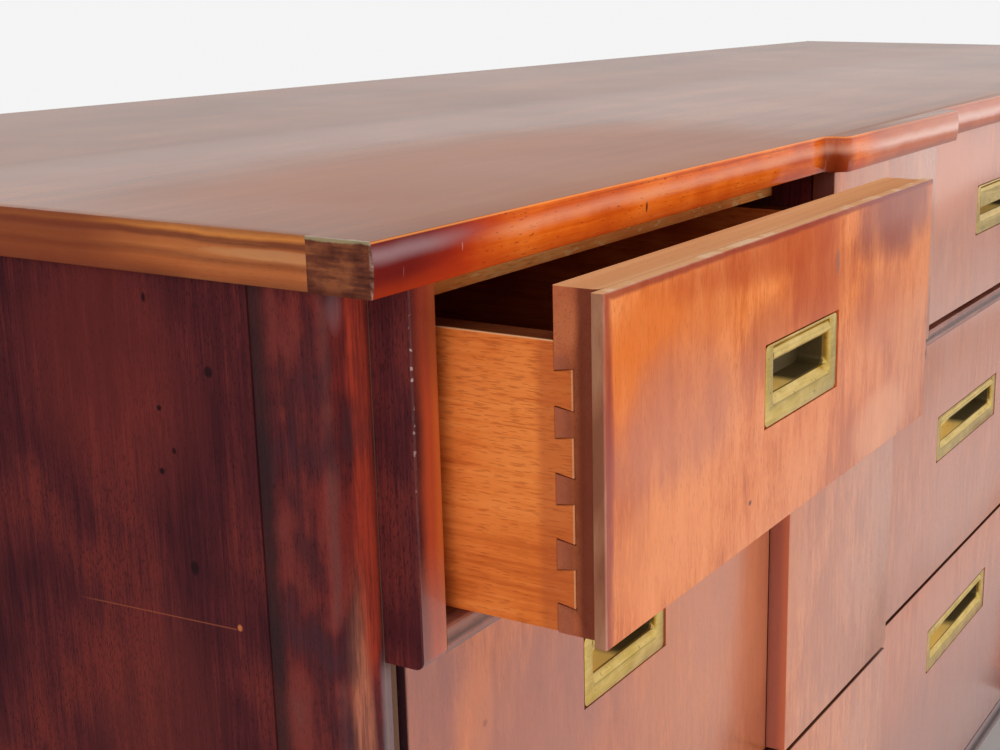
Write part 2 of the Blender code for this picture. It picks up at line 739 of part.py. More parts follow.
def make_drawer(row, bay):
    name = f"{row}_{bay}"
    drawer = name + "_drawer"
    face, low, high = ROWS[row]
    opened = DRAWER_OPEN if name == "top_left" else 0.0
    centre_bay = bay == "centre"
    left, right = (DIVIDER_LEFT, TOP_LONG - DIVIDER_LEFT) if centre_bay else (FRONT_LEFT, FRONT_RIGHT)
    if bay == "right":
        left, right = TOP_LONG - right, TOP_LONG - left
    core = (left + CORE_SET, right - CORE_SET)
    if centre_bay:
        box_edge = DIVIDER_RIGHT + CORE_PLAY + CORE_SET
        core = (box_edge, TOP_LONG - box_edge)
    middle = (left + right) / 2
    rear = face + FRONT_THICK
    carrier = bpy.data.objects.new(drawer, None)
    parts.objects.link(carrier)
    carrier.location = world(middle, face, (low + high) / 2)
    lift = (CENTRE_PULL_LIFT if centre_bay else SMALL_PULL_LIFT)[row]
    pull_wide = PULL_WIDE_CENTRE if centre_bay else PULL_WIDE
    foot = low + lift
    mortise = pull_cutters(drawer, pull_wide, middle, face, foot, FRONT_THICK, carrier)
    box_low, box_high = low + BOX_LIFT, high - BOX_DROP
    if name == "top_left":
        facing_back = face + FACING_THICK
        facing = soften(
            box(drawer + "_facing", (left, face, low), (right, facing_back, high), front_wood, carrier),
            ARRIS,
            ARRIS_STEPS,
        )
        core_front = box(
            drawer + "_front", (core[0], facing_back + GAP, low), (core[1], rear, high), front_wood, carrier
        )
        fronts = (facing, core_front)
        for socket in make_jointed_box(drawer, core, rear, box_low, box_high, carrier):
            combine(core_front, socket)
    elif centre_bay:
        fronts = (prism(drawer + "_front", block_front_outline(face), "Z", low, high, front_wood, carrier),)
        make_box(drawer, core, rear, box_low, box_high, carrier)
    else:
        front = box(drawer + "_front", (left, face, low), (right, rear, high), front_wood, carrier)
        fronts = (soften(front, ARRIS, ARRIS_STEPS),)
        make_box(drawer, core, rear, box_low, box_high, carrier)
    for front in fronts:
        for cutter in mortise:
            combine(front, cutter)
    make_pull(drawer, pull_wide, middle, face, foot, carrier)
    make_flap(drawer, pull_wide, middle, face, foot, carrier, name in PUSHED_IN)
    carrier.location.y -= opened


make_top()
make_posts()
make_sides()
make_dividers()
make_rails()
make_case_panels()
for row_name in ROWS:
    for bay_name in ("left", "centre", "right"):
        make_drawer(row_name, bay_name)
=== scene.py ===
import copy
import json
import math

import bmesh
import bpy
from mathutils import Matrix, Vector


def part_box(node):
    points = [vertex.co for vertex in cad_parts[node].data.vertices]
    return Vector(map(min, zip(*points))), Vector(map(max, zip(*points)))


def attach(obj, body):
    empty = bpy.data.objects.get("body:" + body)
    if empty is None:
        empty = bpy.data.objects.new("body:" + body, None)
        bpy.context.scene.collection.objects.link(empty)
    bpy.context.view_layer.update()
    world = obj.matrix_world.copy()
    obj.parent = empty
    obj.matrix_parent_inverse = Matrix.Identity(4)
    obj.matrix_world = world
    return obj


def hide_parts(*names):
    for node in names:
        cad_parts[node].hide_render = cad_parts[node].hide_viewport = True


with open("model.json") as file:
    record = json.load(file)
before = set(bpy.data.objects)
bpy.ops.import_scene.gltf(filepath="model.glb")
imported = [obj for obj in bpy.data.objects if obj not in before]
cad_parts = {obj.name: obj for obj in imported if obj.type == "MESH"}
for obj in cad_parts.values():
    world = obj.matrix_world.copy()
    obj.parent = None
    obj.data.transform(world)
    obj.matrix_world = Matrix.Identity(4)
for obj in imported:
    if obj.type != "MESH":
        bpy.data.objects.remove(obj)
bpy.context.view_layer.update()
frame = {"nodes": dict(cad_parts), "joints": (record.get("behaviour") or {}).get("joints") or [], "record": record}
print("stage: frame loaded")

bodyOf = {node: body for body, nodes in frame["record"]["behaviour"]["bodies"].items() for node in nodes}
pivots = {joint["child"]: Vector(joint["pos_m"]) for joint in frame["joints"] if joint.get("pos_m")}
tiny, weldReach = 0.00002, 0.00001
rows, bays = ("top", "middle", "bottom"), ("left", "centre", "right")
drawers = [(row + "_" + bay, bay == "centre") for row in rows for bay in bays]


# Small helpers for working by operator

def deselect():
    if bpy.context.object and bpy.context.object.mode != "OBJECT":
        bpy.ops.object.mode_set(mode="OBJECT")
    bpy.ops.object.select_all(action="DESELECT")


def only(piece):
    deselect()
    piece.select_set(True)
    bpy.context.view_layer.objects.active = piece
    return piece


def settle(piece):
    only(piece)
    bpy.ops.object.transform_apply()
    return piece


def fresh(add, name, middle, scale):
    deselect()
    add(size=1, location=middle)
    piece = bpy.context.object
    piece.name = name
    piece.scale = scale
    return settle(piece)


def cube(name, low, high):
    middle = [(a + b) / 2 for a, b in zip(low, high)]
    return fresh(bpy.ops.mesh.primitive_cube_add, name, middle, [b - a for a, b in zip(low, high)])


def plane(name, middle, scale):
    return fresh(bpy.ops.mesh.primitive_plane_add, name, middle, scale)


def pick(piece, kind="FACE", test=lambda part: True):
    # leaves the piece in edit mode with only the wanted parts selected
    only(piece)
    bpy.ops.object.mode_set(mode="EDIT")
    bpy.ops.mesh.select_mode(type=kind)
    bpy.ops.mesh.select_all(action="DESELECT")
    grid = bmesh.from_edit_mesh(piece.data)
    grid.normal_update()
    found = {"VERT": grid.verts, "EDGE": grid.edges, "FACE": grid.faces}[kind]
    for part in found:
        if test(part):
            part.select_set(True)
    grid.select_flush_mode()
    bmesh.update_edit_mesh(piece.data)


def leave():
    bpy.ops.object.mode_set(mode="OBJECT")


def spanOf(part, axis):
    values = [vert.co[axis] for vert in part.verts]
    return min(values), max(values)


def runs(part, axis):
    low, high = spanOf(part, axis)
    return high - low > tiny


def at(part, axis, value):
    low, high = spanOf(part, axis)
    return abs(low - value) < tiny and abs(high - value) < tiny


def splitAt(piece, axis, value, clear=0):
    # clear takes away the side that it points to, -1 or 1
    place = [value if i == axis else 0.0 for i in range(3)]
    normal = [float(clear or 1) if i == axis else 0.0 for i in range(3)]
    pick(piece)
    bpy.ops.mesh.bisect(plane_co=place, plane_no=normal, use_fill=bool(clear), clear_outer=bool(clear))
    leave()


def shove(move):
    bpy.ops.mesh.extrude_region_move(TRANSFORM_OT_translate={"value": move})


def weld(piece):
    pick(piece)
    bpy.ops.mesh.remove_doubles(threshold=weldReach)
    bpy.ops.mesh.normals_make_consistent(inside=False)
    leave()


def roundEdges(piece, test, radius, steps):
    pick(piece, "EDGE", test)
    bpy.ops.mesh.bevel(offset=radius, segments=steps)
    leave()


def soften(piece, width, steps, angle):
    only(piece)
    bevel = piece.modifiers.new("arris", "BEVEL")
    bevel.width = width
    bevel.segments = steps
    bevel.limit_method = "ANGLE"
    bevel.angle_limit = math.radians(angle)
    bpy.ops.object.modifier_apply(modifier=bevel.name)
    return piece


def carve(piece, cutter, operation="DIFFERENCE"):
    only(piece)
    cut = piece.modifiers.new("cut", "BOOLEAN")
    cut.operation = operation
    cut.solver = "EXACT"
    cut.object = cutter
    bpy.ops.object.modifier_apply(modifier=cut.name)
    bpy.data.objects.remove(cutter, do_unlink=True)
    return piece


def sleek(piece, angle=32):
    only(piece)
    bpy.ops.object.shade_smooth_by_angle(angle=math.radians(angle))
    return piece


def copyOf(piece, name, move):
    twin = piece.copy()
    twin.data = piece.data.copy()
    twin.name = name
    bpy.context.scene.collection.objects.link(twin)
    twin.location = move
    return settle(twin)


def dress(piece, node, material):
    # rides on the node's body and stands for it
    piece.data.materials.clear()
    piece.data.materials.append(material)
    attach(piece, bodyOf[node])
    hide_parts(node)
    return piece


# Shader sums written as plain expressions

def sumOf(operation, turned=False):
    def method(self, other):
        return self.mat.sum(operation, *((other, self) if turned else (self, other)))
    return method


class Flow:
    __add__, __radd__ = sumOf("ADD"), sumOf("ADD", True)
    __sub__, __rsub__ = sumOf("SUBTRACT"), sumOf("SUBTRACT", True)
    __mul__, __rmul__ = sumOf("MULTIPLY"), sumOf("MULTIPLY", True)
    __truediv__ = sumOf("DIVIDE")

    def __init__(self, mat, socket):
        self.mat, self.socket = mat, socket


class Mat:
    # one material, with the layers that its marks stain; put() adds any node
    def __init__(self, name):
        self.material = bpy.data.materials.new(name)
        self.material.use_nodes = True
        self.tree = self.material.node_tree
        self.shader = self.tree.nodes["Principled BSDF"]
        self.place = self.put("ShaderNodeTexCoord", out="Object")
        axes = self.tree.nodes.new("ShaderNodeSeparateXYZ")
        self.tree.links.new(self.place.socket, axes.inputs[0])
        self.x, self.y, self.z = (Flow(self, axes.outputs[i]) for i in range(3))

    def feed(self, socket, value):
        if isinstance(value, Flow):
            self.tree.links.new(value.socket, socket)
        elif isinstance(value, (tuple, list)) and len(value) == 3 and len(socket.default_value) == 4:
            socket.default_value = (*value, 1.0)
        else:
            socket.default_value = value

    def put(self, kind, settings=None, inputs=None, out=0):
        node = self.tree.nodes.new(kind)
        for key, value in (settings or {}).items():
            setattr(node, key, value)
        for key, value in (inputs or {}).items():
            self.feed(node.inputs[key], value)
        return Flow(self, node.outputs[out])

    def sum(self, operation, a, b):
        return self.put("ShaderNodeMath", {"operation": operation}, {0: a, 1: b})

    def stretched(self, scale, turn=(0, 0, 0), shift=(0, 0, 0)):
        inputs = {"Vector": self.place, "Scale": scale, "Rotation": turn, "Location": shift}
        return self.put("ShaderNodeMapping", None, inputs)

    def noise(self, vector, scale=1.0, detail=2.0, rough=0.5, warp=0.0):
        inputs = {"Vector": vector, "Scale": scale, "Detail": detail, "Roughness": rough, "Distortion": warp}
        return self.put("ShaderNodeTexNoise", None, inputs)

    def blend(self, share, first, second):
        node = self.tree.nodes.new("ShaderNodeMix")
        node.data_type = "RGBA"
        node.clamp_factor = True
        for socket, value in zip((node.inputs[0], node.inputs[6], node.inputs[7]), (share, first, second)):
            self.feed(socket, value)
        return Flow(self, node.outputs[2])

    def stain(self, share, tone):
        self.colour = self.blend(share, self.colour, tone)

    def blots(self, across, up, spots, strength=1.0):
        for x, z, wide, high, tone, share in spots:
            wild = (self.drift * 1.7 + self.grit * 0.8) * (1.0 if wide > 0.005 else 0.4)
            self.stain(blot(across, up, (x, z, wide, high), wild) * share * strength, tone)

    def bump(self, height, distance):
        inputs = {"Height": height, "Distance": distance}
        self.feed(self.shader.inputs["Normal"], self.put("ShaderNodeBump", None, inputs))


def size(value):
    return value.mat.put("ShaderNodeMath", {"operation": "ABSOLUTE"}, {0: value})


def most(first, second):
    return first.mat.sum("MAXIMUM", first, second)


def fade(value, low, high, first=0.0, last=1.0):
    inputs = {"Value": value, "From Min": low, "From Max": high, "To Min": first, "To Max": last}
    return value.mat.put("ShaderNodeMapRange", {"interpolation_type": "SMOOTHSTEP"}, inputs)


def fall(value, low, high):
    return fade(value, low, high, 1.0, 0.0)


def near(value, target, reach):
    return fall(size(value - target), 0.0, reach)


def ramp(value, stops):
    flow = value.mat.put("ShaderNodeValToRGB", None, {"Fac": value})
    elements = flow.socket.node.color_ramp.elements
    while len(elements) < len(stops):
        elements.new(1.0)
    for element, (place, colour) in zip(elements, stops):
        element.position = place
        element.color = (*colour, 1.0)
    return flow


def blot(across, up, spot, ragged):
    # 1 at the middle of a ragged oval (place, place, reach, reach), 0 outside it
    u = (across - spot[0]) / spot[2]
    v = (up - spot[1]) / spot[3]
    return fall(u * u + v * v + ragged, 0.1, 1.0)


woodLook = {  # scales are along and across the grain
    "shift": (0.0, 0.0, 0.0), "bands": (2.5, 30.0), "streaks": (9.0, 170.0), "fibres": (40.0, 900.0),
    "mottle": (22.0, 70.0), "cloudScale": 12.0, "weights": (0.34, 0.24, 0.2, 0.5, 0.3), "spread": 0.15,
    "pores": 0.35, "poreTone": (0.05, 0.01, 0.007), "poreScale": (240.0, 1700.0), "poreFrom": 0.64,
    "poreFade": 0.08, "rough": 0.34, "roughVary": 0.14, "coat": 0.5, "coatRough": 0.16, "specular": 0.0,
    "bump": 0.00012, "ripple": 0.3,
}


def grain(mat, look):
    # lacquered wood: broad bands, streaks, fibres, cloudy stain, fine mottle and short dark pores
    def layer(along, across, detail=3.0, rough=0.6, warp=0.0):
        scale = tuple(along if letter == look["grain"] else across for letter in "XYZ")
        return mat.noise(mat.stretched(scale, shift=look["shift"]), 1.0, detail, rough, warp)

    look = {**woodLook, **look}
    mat.bands = layer(*look["bands"], warp=0.35)
    mat.streaks = layer(*look["streaks"], 2.0)
    mat.fibres = layer(*look["fibres"], rough=0.7)
    mat.mottle = layer(*look["mottle"])
    mat.clouds = mat.noise(mat.stretched((1, 1, 1), shift=look["shift"]), look["cloudScale"], 3.0, 0.55)
    mat.drift, mat.grit = mat.clouds - 0.5, mat.mottle - 0.5
    tone = 0.5 - sum(look["weights"]) / 2
    layers = mat.bands, mat.streaks, mat.fibres, mat.clouds, mat.mottle
    for part, share in zip(layers, look["weights"]):
        tone = part * share + tone
    toned = fade(tone, 0.5 - look["spread"], 0.5 + look["spread"])
    colour = ramp(toned, list(zip((0.0, 0.5, 1.0), look["tones"])))
    specks = layer(*look["poreScale"], 1.0) + mat.drift * 0.25
    pores = fade(specks, look["poreFrom"], look["poreFrom"] + look["poreFade"])
    mat.colour = mat.blend(pores * look["pores"], colour, look["poreTone"])
    mat.rough = look["rough"] + mat.grit * look["roughVary"]
    mat.coat = look["coat"]
    mat.height = mat.fibres * 0.25 - pores * 0.8 + mat.mottle * look["ripple"]
    return look


def wood(name, look, marks=None):
    mat = Mat(name)
    look = grain(mat, look)
    if marks:
        marks(mat)
    shader = mat.shader.inputs
    mat.feed(shader["Base Color"], mat.colour)
    mat.feed(shader["Roughness"], mat.rough)
    mat.feed(shader["Coat Weight"], mat.coat)
    shader["Specular IOR Level"].default_value = look["specular"]
    shader["Coat Roughness"].default_value = look["coatRough"]
    mat.bump(mat.height, look["bump"])
    return mat.material


def brass(name, low, high):
    # aged brass: brushed and bright outside, worn inside; painted light on the cup floor, painted shade along the
    # creases and at the far side of the cup
    mat = Mat(name)
    brushed = mat.noise(mat.stretched((60, 400, 900)), detail=2.0)
    patches = mat.noise(mat.place, 90.0, 3.0, 0.6)
    mat.colour = ramp(
        fade(brushed * 0.4 + patches * 0.6, 0.3, 0.7),
        [(0.0, (0.6, 0.405, 0.1)), (0.5, (0.71, 0.49, 0.14)), (1.0, (0.82, 0.59, 0.21))],
    )
    inside = fade(mat.y, low[1] + 0.003, low[1] + 0.0045)
    mat.stain(inside * 0.85, (0.88, 0.64, 0.2))
    foot = low[2] + pull["foot"]
    across = near(mat.x, (low[0] + high[0]) / 2, (high[0] - low[0]) / 2 - pull["side"] + 0.001)
    across = fade(across, 0.0, 0.02) * (1.0 - inside)
    # painted shade: dark lines along the crease where the bevel starts and along the front edge of the cup floor
    for z, share in ((foot - pull["bevel"], 0.5), (foot + 0.0003, 0.9)):
        mat.stain(near(mat.z, z, 0.0006) * share * across, (0.16, 0.1, 0.03))
    # painted shade: the cup's right wall and its right half go near black
    wall = fade(mat.x, high[0] - pull["side"] - 0.0004, high[0] - pull["side"] - 0.0001)
    wide = high[0] - low[0]
    far = fade(mat.x + patches * 0.006, low[0] + wide * 0.46, low[0] + wide * 0.58)
    # painted light: the cup floor is made brighter than the rest of the inside
    floor = fall(mat.z, foot + 0.0006, foot + 0.0012)
    mat.stain(inside * floor, (0.92, 0.67, 0.22))
    mat.stain(inside * most(wall, far) * 0.94, (0.035, 0.02, 0.008))
    spots = fade(mat.noise(mat.place, 420.0, 1.0), 0.68, 0.74)
    mat.stain(spots * 0.45, (0.16, 0.1, 0.03))
    shader = mat.shader.inputs
    mat.feed(shader["Base Color"], mat.colour)
    mat.feed(shader["Roughness"], 0.32 + (patches - 0.5) * 0.2 + inside * 0.15)
    mat.feed(shader["Metallic"], 1.0 - inside * 0.75)
    mat.bump(brushed * 0.4 + patches * 0.6, 0.00006)
    return mat.material


# Camera, light and floor

view = {
    "lens": 55.52, "sensor": 36.0, "shift": (-0.1551, 0.0084), "down": 14.71, "yaw": 62.0,
    "fromCorner": (-0.3865, -0.3075, 0.0812),  # from the top's upper front left corner
}
light = {
    "background": 0.91, "fill": 0.36,
    "key": {"place": (0.5, -3.5, 1.1), "aim": (0.0, 0.0, 0.7), "size": (3.4, 1.0), "watts": 66.0},
    "side": {"place": (-3.6, -0.9, 1.4), "aim": (-0.5, 0.0, 0.5), "size": (2.4, 2.0), "watts": 46.0},
    "top": {"place": (-0.4, 0.2, 3.4), "aim": (0.0, 0.0, 0.7), "size": (3.0, 2.0), "watts": 34.0},
}
blockProud, blockWide, stileWide = 0.012, 0.1778, 0.0074
floorLook = {"size": 12.0, "rough": 0.9, "grey": (0.8, 0.84), "cloudScale": 3.0}


def aimed(target, place, aim):
    target.location = place
    target.rotation_euler = (Vector(aim) - Vector(place)).to_track_quat("-Z", "Y").to_euler()


def makeView():
    low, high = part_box("top_front_moulding")
    corner = Vector((low[0], low[1] + blockProud, high[2]))
    bpy.ops.object.camera_add()
    camera = bpy.context.object
    camera.location = corner + Vector(view["fromCorner"])
    camera.rotation_euler = (math.radians(90 - view["down"]), 0.0, math.radians(-view["yaw"]))
    camera.data.lens = view["lens"]
    camera.data.sensor_width = view["sensor"]
    camera.data.shift_x, camera.data.shift_y = view["shift"]
    camera.data.clip_start = 0.01
    bpy.context.scene.camera = camera


def makeLamps():
    for name in ("key", "side", "top"):
        lamp = light[name]
        bpy.ops.object.light_add(type="AREA")
        softbox = bpy.context.object
        softbox.name = name + "Light"
        softbox.data.shape = "RECTANGLE"
        softbox.data.size, softbox.data.size_y = lamp["size"]
        softbox.data.energy = lamp["watts"]
        softbox.visible_glossy = False
        aimed(softbox, lamp["place"], lamp["aim"])


def makeWorld():
    world = bpy.data.worlds.new("studio")
    bpy.context.scene.world = world
    world.use_nodes = True
    tree = world.node_tree
    path = tree.nodes.new("ShaderNodeLightPath")
    seen = path.outputs["Is Camera Ray"]
    for ray in ("Is Glossy Ray", "Is Transmission Ray"):
        either = tree.nodes.new("ShaderNodeMath")
        either.operation = "MAXIMUM"
        tree.links.new(seen, either.inputs[0])
        tree.links.new(path.outputs[ray], either.inputs[1])
        seen = either.outputs[0]
    level = tree.nodes.new("ShaderNodeMapRange")
    tree.links.new(seen, level.inputs["Value"])
    level.inputs["To Min"].default_value = light["fill"]
    level.inputs["To Max"].default_value = light["background"]
    backdrop = tree.nodes["Background"]
    backdrop.inputs["Color"].default_value = (1.0, 1.0, 1.0, 1.0)
    tree.links.new(level.outputs[0], backdrop.inputs["Strength"])


def makeFloor():
    floor = plane("floor", (0.0, 0.0, 0.0), (floorLook["size"], floorLook["size"], 1.0))
    mat = Mat("paleFloor")
    grey = fade(mat.noise(mat.place, floorLook["cloudScale"]), 0.3, 0.7, *floorLook["grey"])
    mat.feed(mat.shader.inputs["Base Color"], mat.blend(grey, (0.0, 0.0, 0.0), (1.0, 1.0, 1.0)))
    mat.shader.inputs["Roughness"].default_value = floorLook["rough"]
    floor.data.materials.append(mat.material)


makeView()
makeLamps()
makeWorld()
makeFloor()
bpy.context.scene.view_settings.view_transform = "Standard"
print("stage: camera, light and floor")


# Materials

pull = {
    "side": 0.0075, "foot": 0.012, "bevel": 0.004, "bevelDeep": 0.003, "plate": 0.0022, "round": 0.0028,
    "wall": 0.0012, "cupRound": 0.004, "cupDeep": 0.016, "roof": 0.0012, "arris": 0.00035,
    "knuckle": 0.0035, "knuckleWide": 0.0068, "flap": 0.0016, "flapHigh": 0.0146, "play": 0.0005,
    "pushedIn": 80.0, "roundSteps": 5, "cupSteps": 6, "flapSteps": 16, "knuckleSteps": 32,
    "knuckleIn": 0.00012, "knuckleShort": 0.0002, "knuckleTurn": 0.05,
}

topLook = {
    "grain": "X", "tones": ((0.2, 0.06, 0.022), (0.3, 0.092, 0.029), (0.41, 0.138, 0.042)),
    "bands": (1.6, 20.0), "streaks": (4.0, 110.0), "cloudScale": 7.0, "pores": 0.25,
    "rough": 0.26, "coat": 0.56, "coatRough": 0.1, "bump": 0.00004, "ripple": 0.1, "spread": 0.24,
    "weights": (0.4, 0.3, 0.22, 0.32, 0.22),
}
noseLook = {
    "grain": "X", "tones": ((0.6, 0.08, 0.007), (0.8, 0.14, 0.01), (0.9, 0.21, 0.026)), "bands": (2.5, 130.0),
    "streaks": (9.0, 420.0), "pores": 0.7, "poreScale": (260.0, 1500.0), "poreFrom": 0.66,
    "poreTone": (0.16, 0.014, 0.006), "rough": 0.3, "coat": 0.1, "shift": (3.0, 1.0, 2.0), "cloudScale": 26.0,
    "coatRough": 0.1, "bump": 0.00004,
}
stripLook = {
    "grain": "Y", "tones": ((0.3, 0.08, 0.024), (0.42, 0.13, 0.04), (0.54, 0.2, 0.07)), "bands": (2.5, 260.0),
    "streaks": (9.0, 600.0), "pores": 0.3, "rough": 0.45, "coat": 0.1, "shift": (1.0, 4.0, 2.0),
    "cloudScale": 20.0, "coatRough": 0.1, "bump": 0.00004,
}
caseLook = {
    "grain": "Z", "tones": ((0.036, 0.009, 0.012), (0.078, 0.015, 0.017), (0.15, 0.025, 0.02)),
    "bands": (2.5, 24.0), "streaks": (9.0, 260.0), "pores": 0.5, "poreTone": (0.018, 0.008, 0.01),
    "poreScale": (420.0, 1700.0), "poreFrom": 0.61, "rough": 0.46, "coat": 0.05, "coatRough": 0.2,
    "shift": (0.4, 2.0, 5.0), "ripple": 0.5, "cloudScale": 18.0, "weights": (0.2, 0.2, 0.32, 0.5, 0.2),
    "spread": 0.19,
}
railLook = {
    "grain": "X", "tones": ((0.22, 0.075, 0.052), (0.34, 0.125, 0.085), (0.44, 0.175, 0.115)), "coat": 0.85,
    "pores": 0.3, "rough": 0.36,
}
frontLook = {
    "grain": "Z", "tones": ((0.5, 0.11, 0.028), (0.69, 0.185, 0.046), (0.79, 0.25, 0.08)),
    "bands": (7.0, 26.0), "streaks": (26.0, 210.0), "fibres": (130.0, 1100.0), "pores": 0.3,
    "poreTone": (0.22, 0.045, 0.02), "coat": 0.9, "coatRough": 0.2, "rough": 0.36,
    "weights": (0.3, 0.26, 0.3, 0.5, 0.3),
}
liningLook = {
    "grain": "Y", "tones": ((0.5, 0.098, 0.018), (0.67, 0.162, 0.032), (0.77, 0.225, 0.052)),
    "bands": (2.5, 70.0), "streaks": (9.0, 420.0), "pores": 0.42, "poreTone": (0.36, 0.066, 0.015),
    "poreScale": (130.0, 1500.0), "poreFrom": 0.6, "rough": 0.6, "coat": 0.0, "shift": (2.0, 0.0, 1.0),
}
coreLook = {
    "grain": "X", "tones": ((0.26, 0.06, 0.024), (0.42, 0.11, 0.045), (0.54, 0.165, 0.065)),
    "bands": (2.5, 60.0), "pores": 0.5, "rough": 0.5, "coat": 0.05,
}
openStains = [  # across, up, their reaches, tone, share
    (-0.7106, 0.7362, 0.05, 0.02, (0.66, 0.155, 0.03), 0.7),
    (-0.7289, 0.72, 0.014, 0.03, (0.68, 0.16, 0.03), 0.6),
    (-0.66, 0.733, 0.036, 0.022, (0.58, 0.14, 0.038), 0.7),
    (-0.5509, 0.7245, 0.05, 0.028, (0.44, 0.085, 0.036), 0.7),
    (-0.61, 0.748, 0.11, 0.016, (0.44, 0.076, 0.024), 0.75),
    (-0.4469, 0.744, 0.075, 0.03, (0.28, 0.056, 0.034), 0.85),
    (-0.4705, 0.7, 0.05, 0.03, (0.5, 0.13, 0.06), 0.5),
    (-0.4317, 0.6806, 0.02, 0.03, (0.72, 0.22, 0.055), 0.4),
    (-0.5299, 0.7318, 0.003, 0.008, (0.22, 0.12, 0.1), 0.6),
    (-0.6225, 0.6447, 0.0021, 0.0015, (0.1, 0.02, 0.01), 0.9),
    (-0.676, 0.699, 0.064, 0.042, (0.5, 0.15, 0.08), 0.85),
    (-0.4643, 0.6402, 0.045, 0.022, (0.84, 0.34, 0.16), 0.5),
    (-0.61, 0.712, 0.03, 0.022, (0.46, 0.115, 0.05), 0.6),
    (-0.7, 0.65, 0.05, 0.028, (0.78, 0.25, 0.085), 0.5),
    (-0.739, 0.7, 0.003, 0.05, (0.34, 0.05, 0.026), 0.6),
]
sideStains = [
    (-0.728, 0.5802, 0.032, 0.048, (0.24, 0.08, 0.072), 0.65),
    (-0.635, 0.535, 0.08, 0.06, (0.32, 0.11, 0.08), 0.65),
    (-0.6908, 0.5534, 0.0021, 0.0019, (0.1, 0.02, 0.012), 0.9),
    (-0.45, 0.535, 0.14, 0.12, (0.74, 0.25, 0.1), 0.35),
    (-0.405, 0.5297, 0.01, 0.06, (0.44, 0.12, 0.055), 0.4),
    (-0.698, 0.56, 0.016, 0.03, (0.62, 0.18, 0.065), 0.4),
]
pitTone, dentTone = (0.01, 0.005, 0.006), (0.012, 0.006, 0.007)
panelStains = [  # places along Y and up Z
    (-0.0921, 0.7155, 0.05, 0.06, (0.19, 0.03, 0.022), 0.35),
    (-0.0999, 0.5833, 0.04, 0.06, (0.17, 0.032, 0.024), 0.3),
    (-0.1148, 0.7453, 0.0012, 0.0024, pitTone, 0.9),
    (-0.118, 0.7043, 0.0016, 0.0015, pitTone, 0.9),
    (-0.1435, 0.7209, 0.0026, 0.0026, dentTone, 0.8),
    (-0.1169, 0.6799, 0.0016, 0.0016, pitTone, 0.9),
    (-0.1238, 0.6887, 0.0014, 0.0016, pitTone, 0.8),
    (-0.1295, 0.6439, 0.0024, 0.0034, dentTone, 0.8),
    (-0.1498, 0.624, 0.0014, 0.0016, (0.5, 0.15, 0.05), 0.9),
]


def topMarks(mat):
    # a dark ragged rim with a few pale chips along the left end, and less lacquer near the front
    low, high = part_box("top_end_strip_left")
    ragged = (mat.noise(mat.place, 260.0, 2.0) - 0.5) * 0.004
    rim = fall(mat.x + ragged, low[0] + 0.0003, low[0] + 0.0013)
    mat.stain(rim * 0.75, (0.07, 0.03, 0.022))
    chipped = rim * fall(mat.y + ragged * 8, low[1] + 0.004, low[1] + 0.02)
    mat.stain(chipped * 0.8, (0.42, 0.36, 0.22))
    worn = blot(mat.x, mat.y, (-0.58, -0.15, 0.26, 0.13), mat.drift * 0.8)
    mat.stain(worn * 0.6, (0.42, 0.128, 0.034))
    mat.coat = 0.55 + mat.drift * 0.12 - worn * 0.14


def crown(mat):
    # the upper face carries on the board's own finish
    above = copy.copy(mat)
    grain(above, topLook)
    topMarks(above)
    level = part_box("top_front_moulding")[1][2]
    up = fade(mat.z, level - 0.00012, level - 0.00004)
    mat.colour = mat.blend(up, mat.colour, above.colour)
    mat.rough = mat.rough + (above.rough - mat.rough) * up
    mat.coat = mat.coat + (above.coat - mat.coat) * up
    mat.height = mat.height + (above.height - mat.height) * up


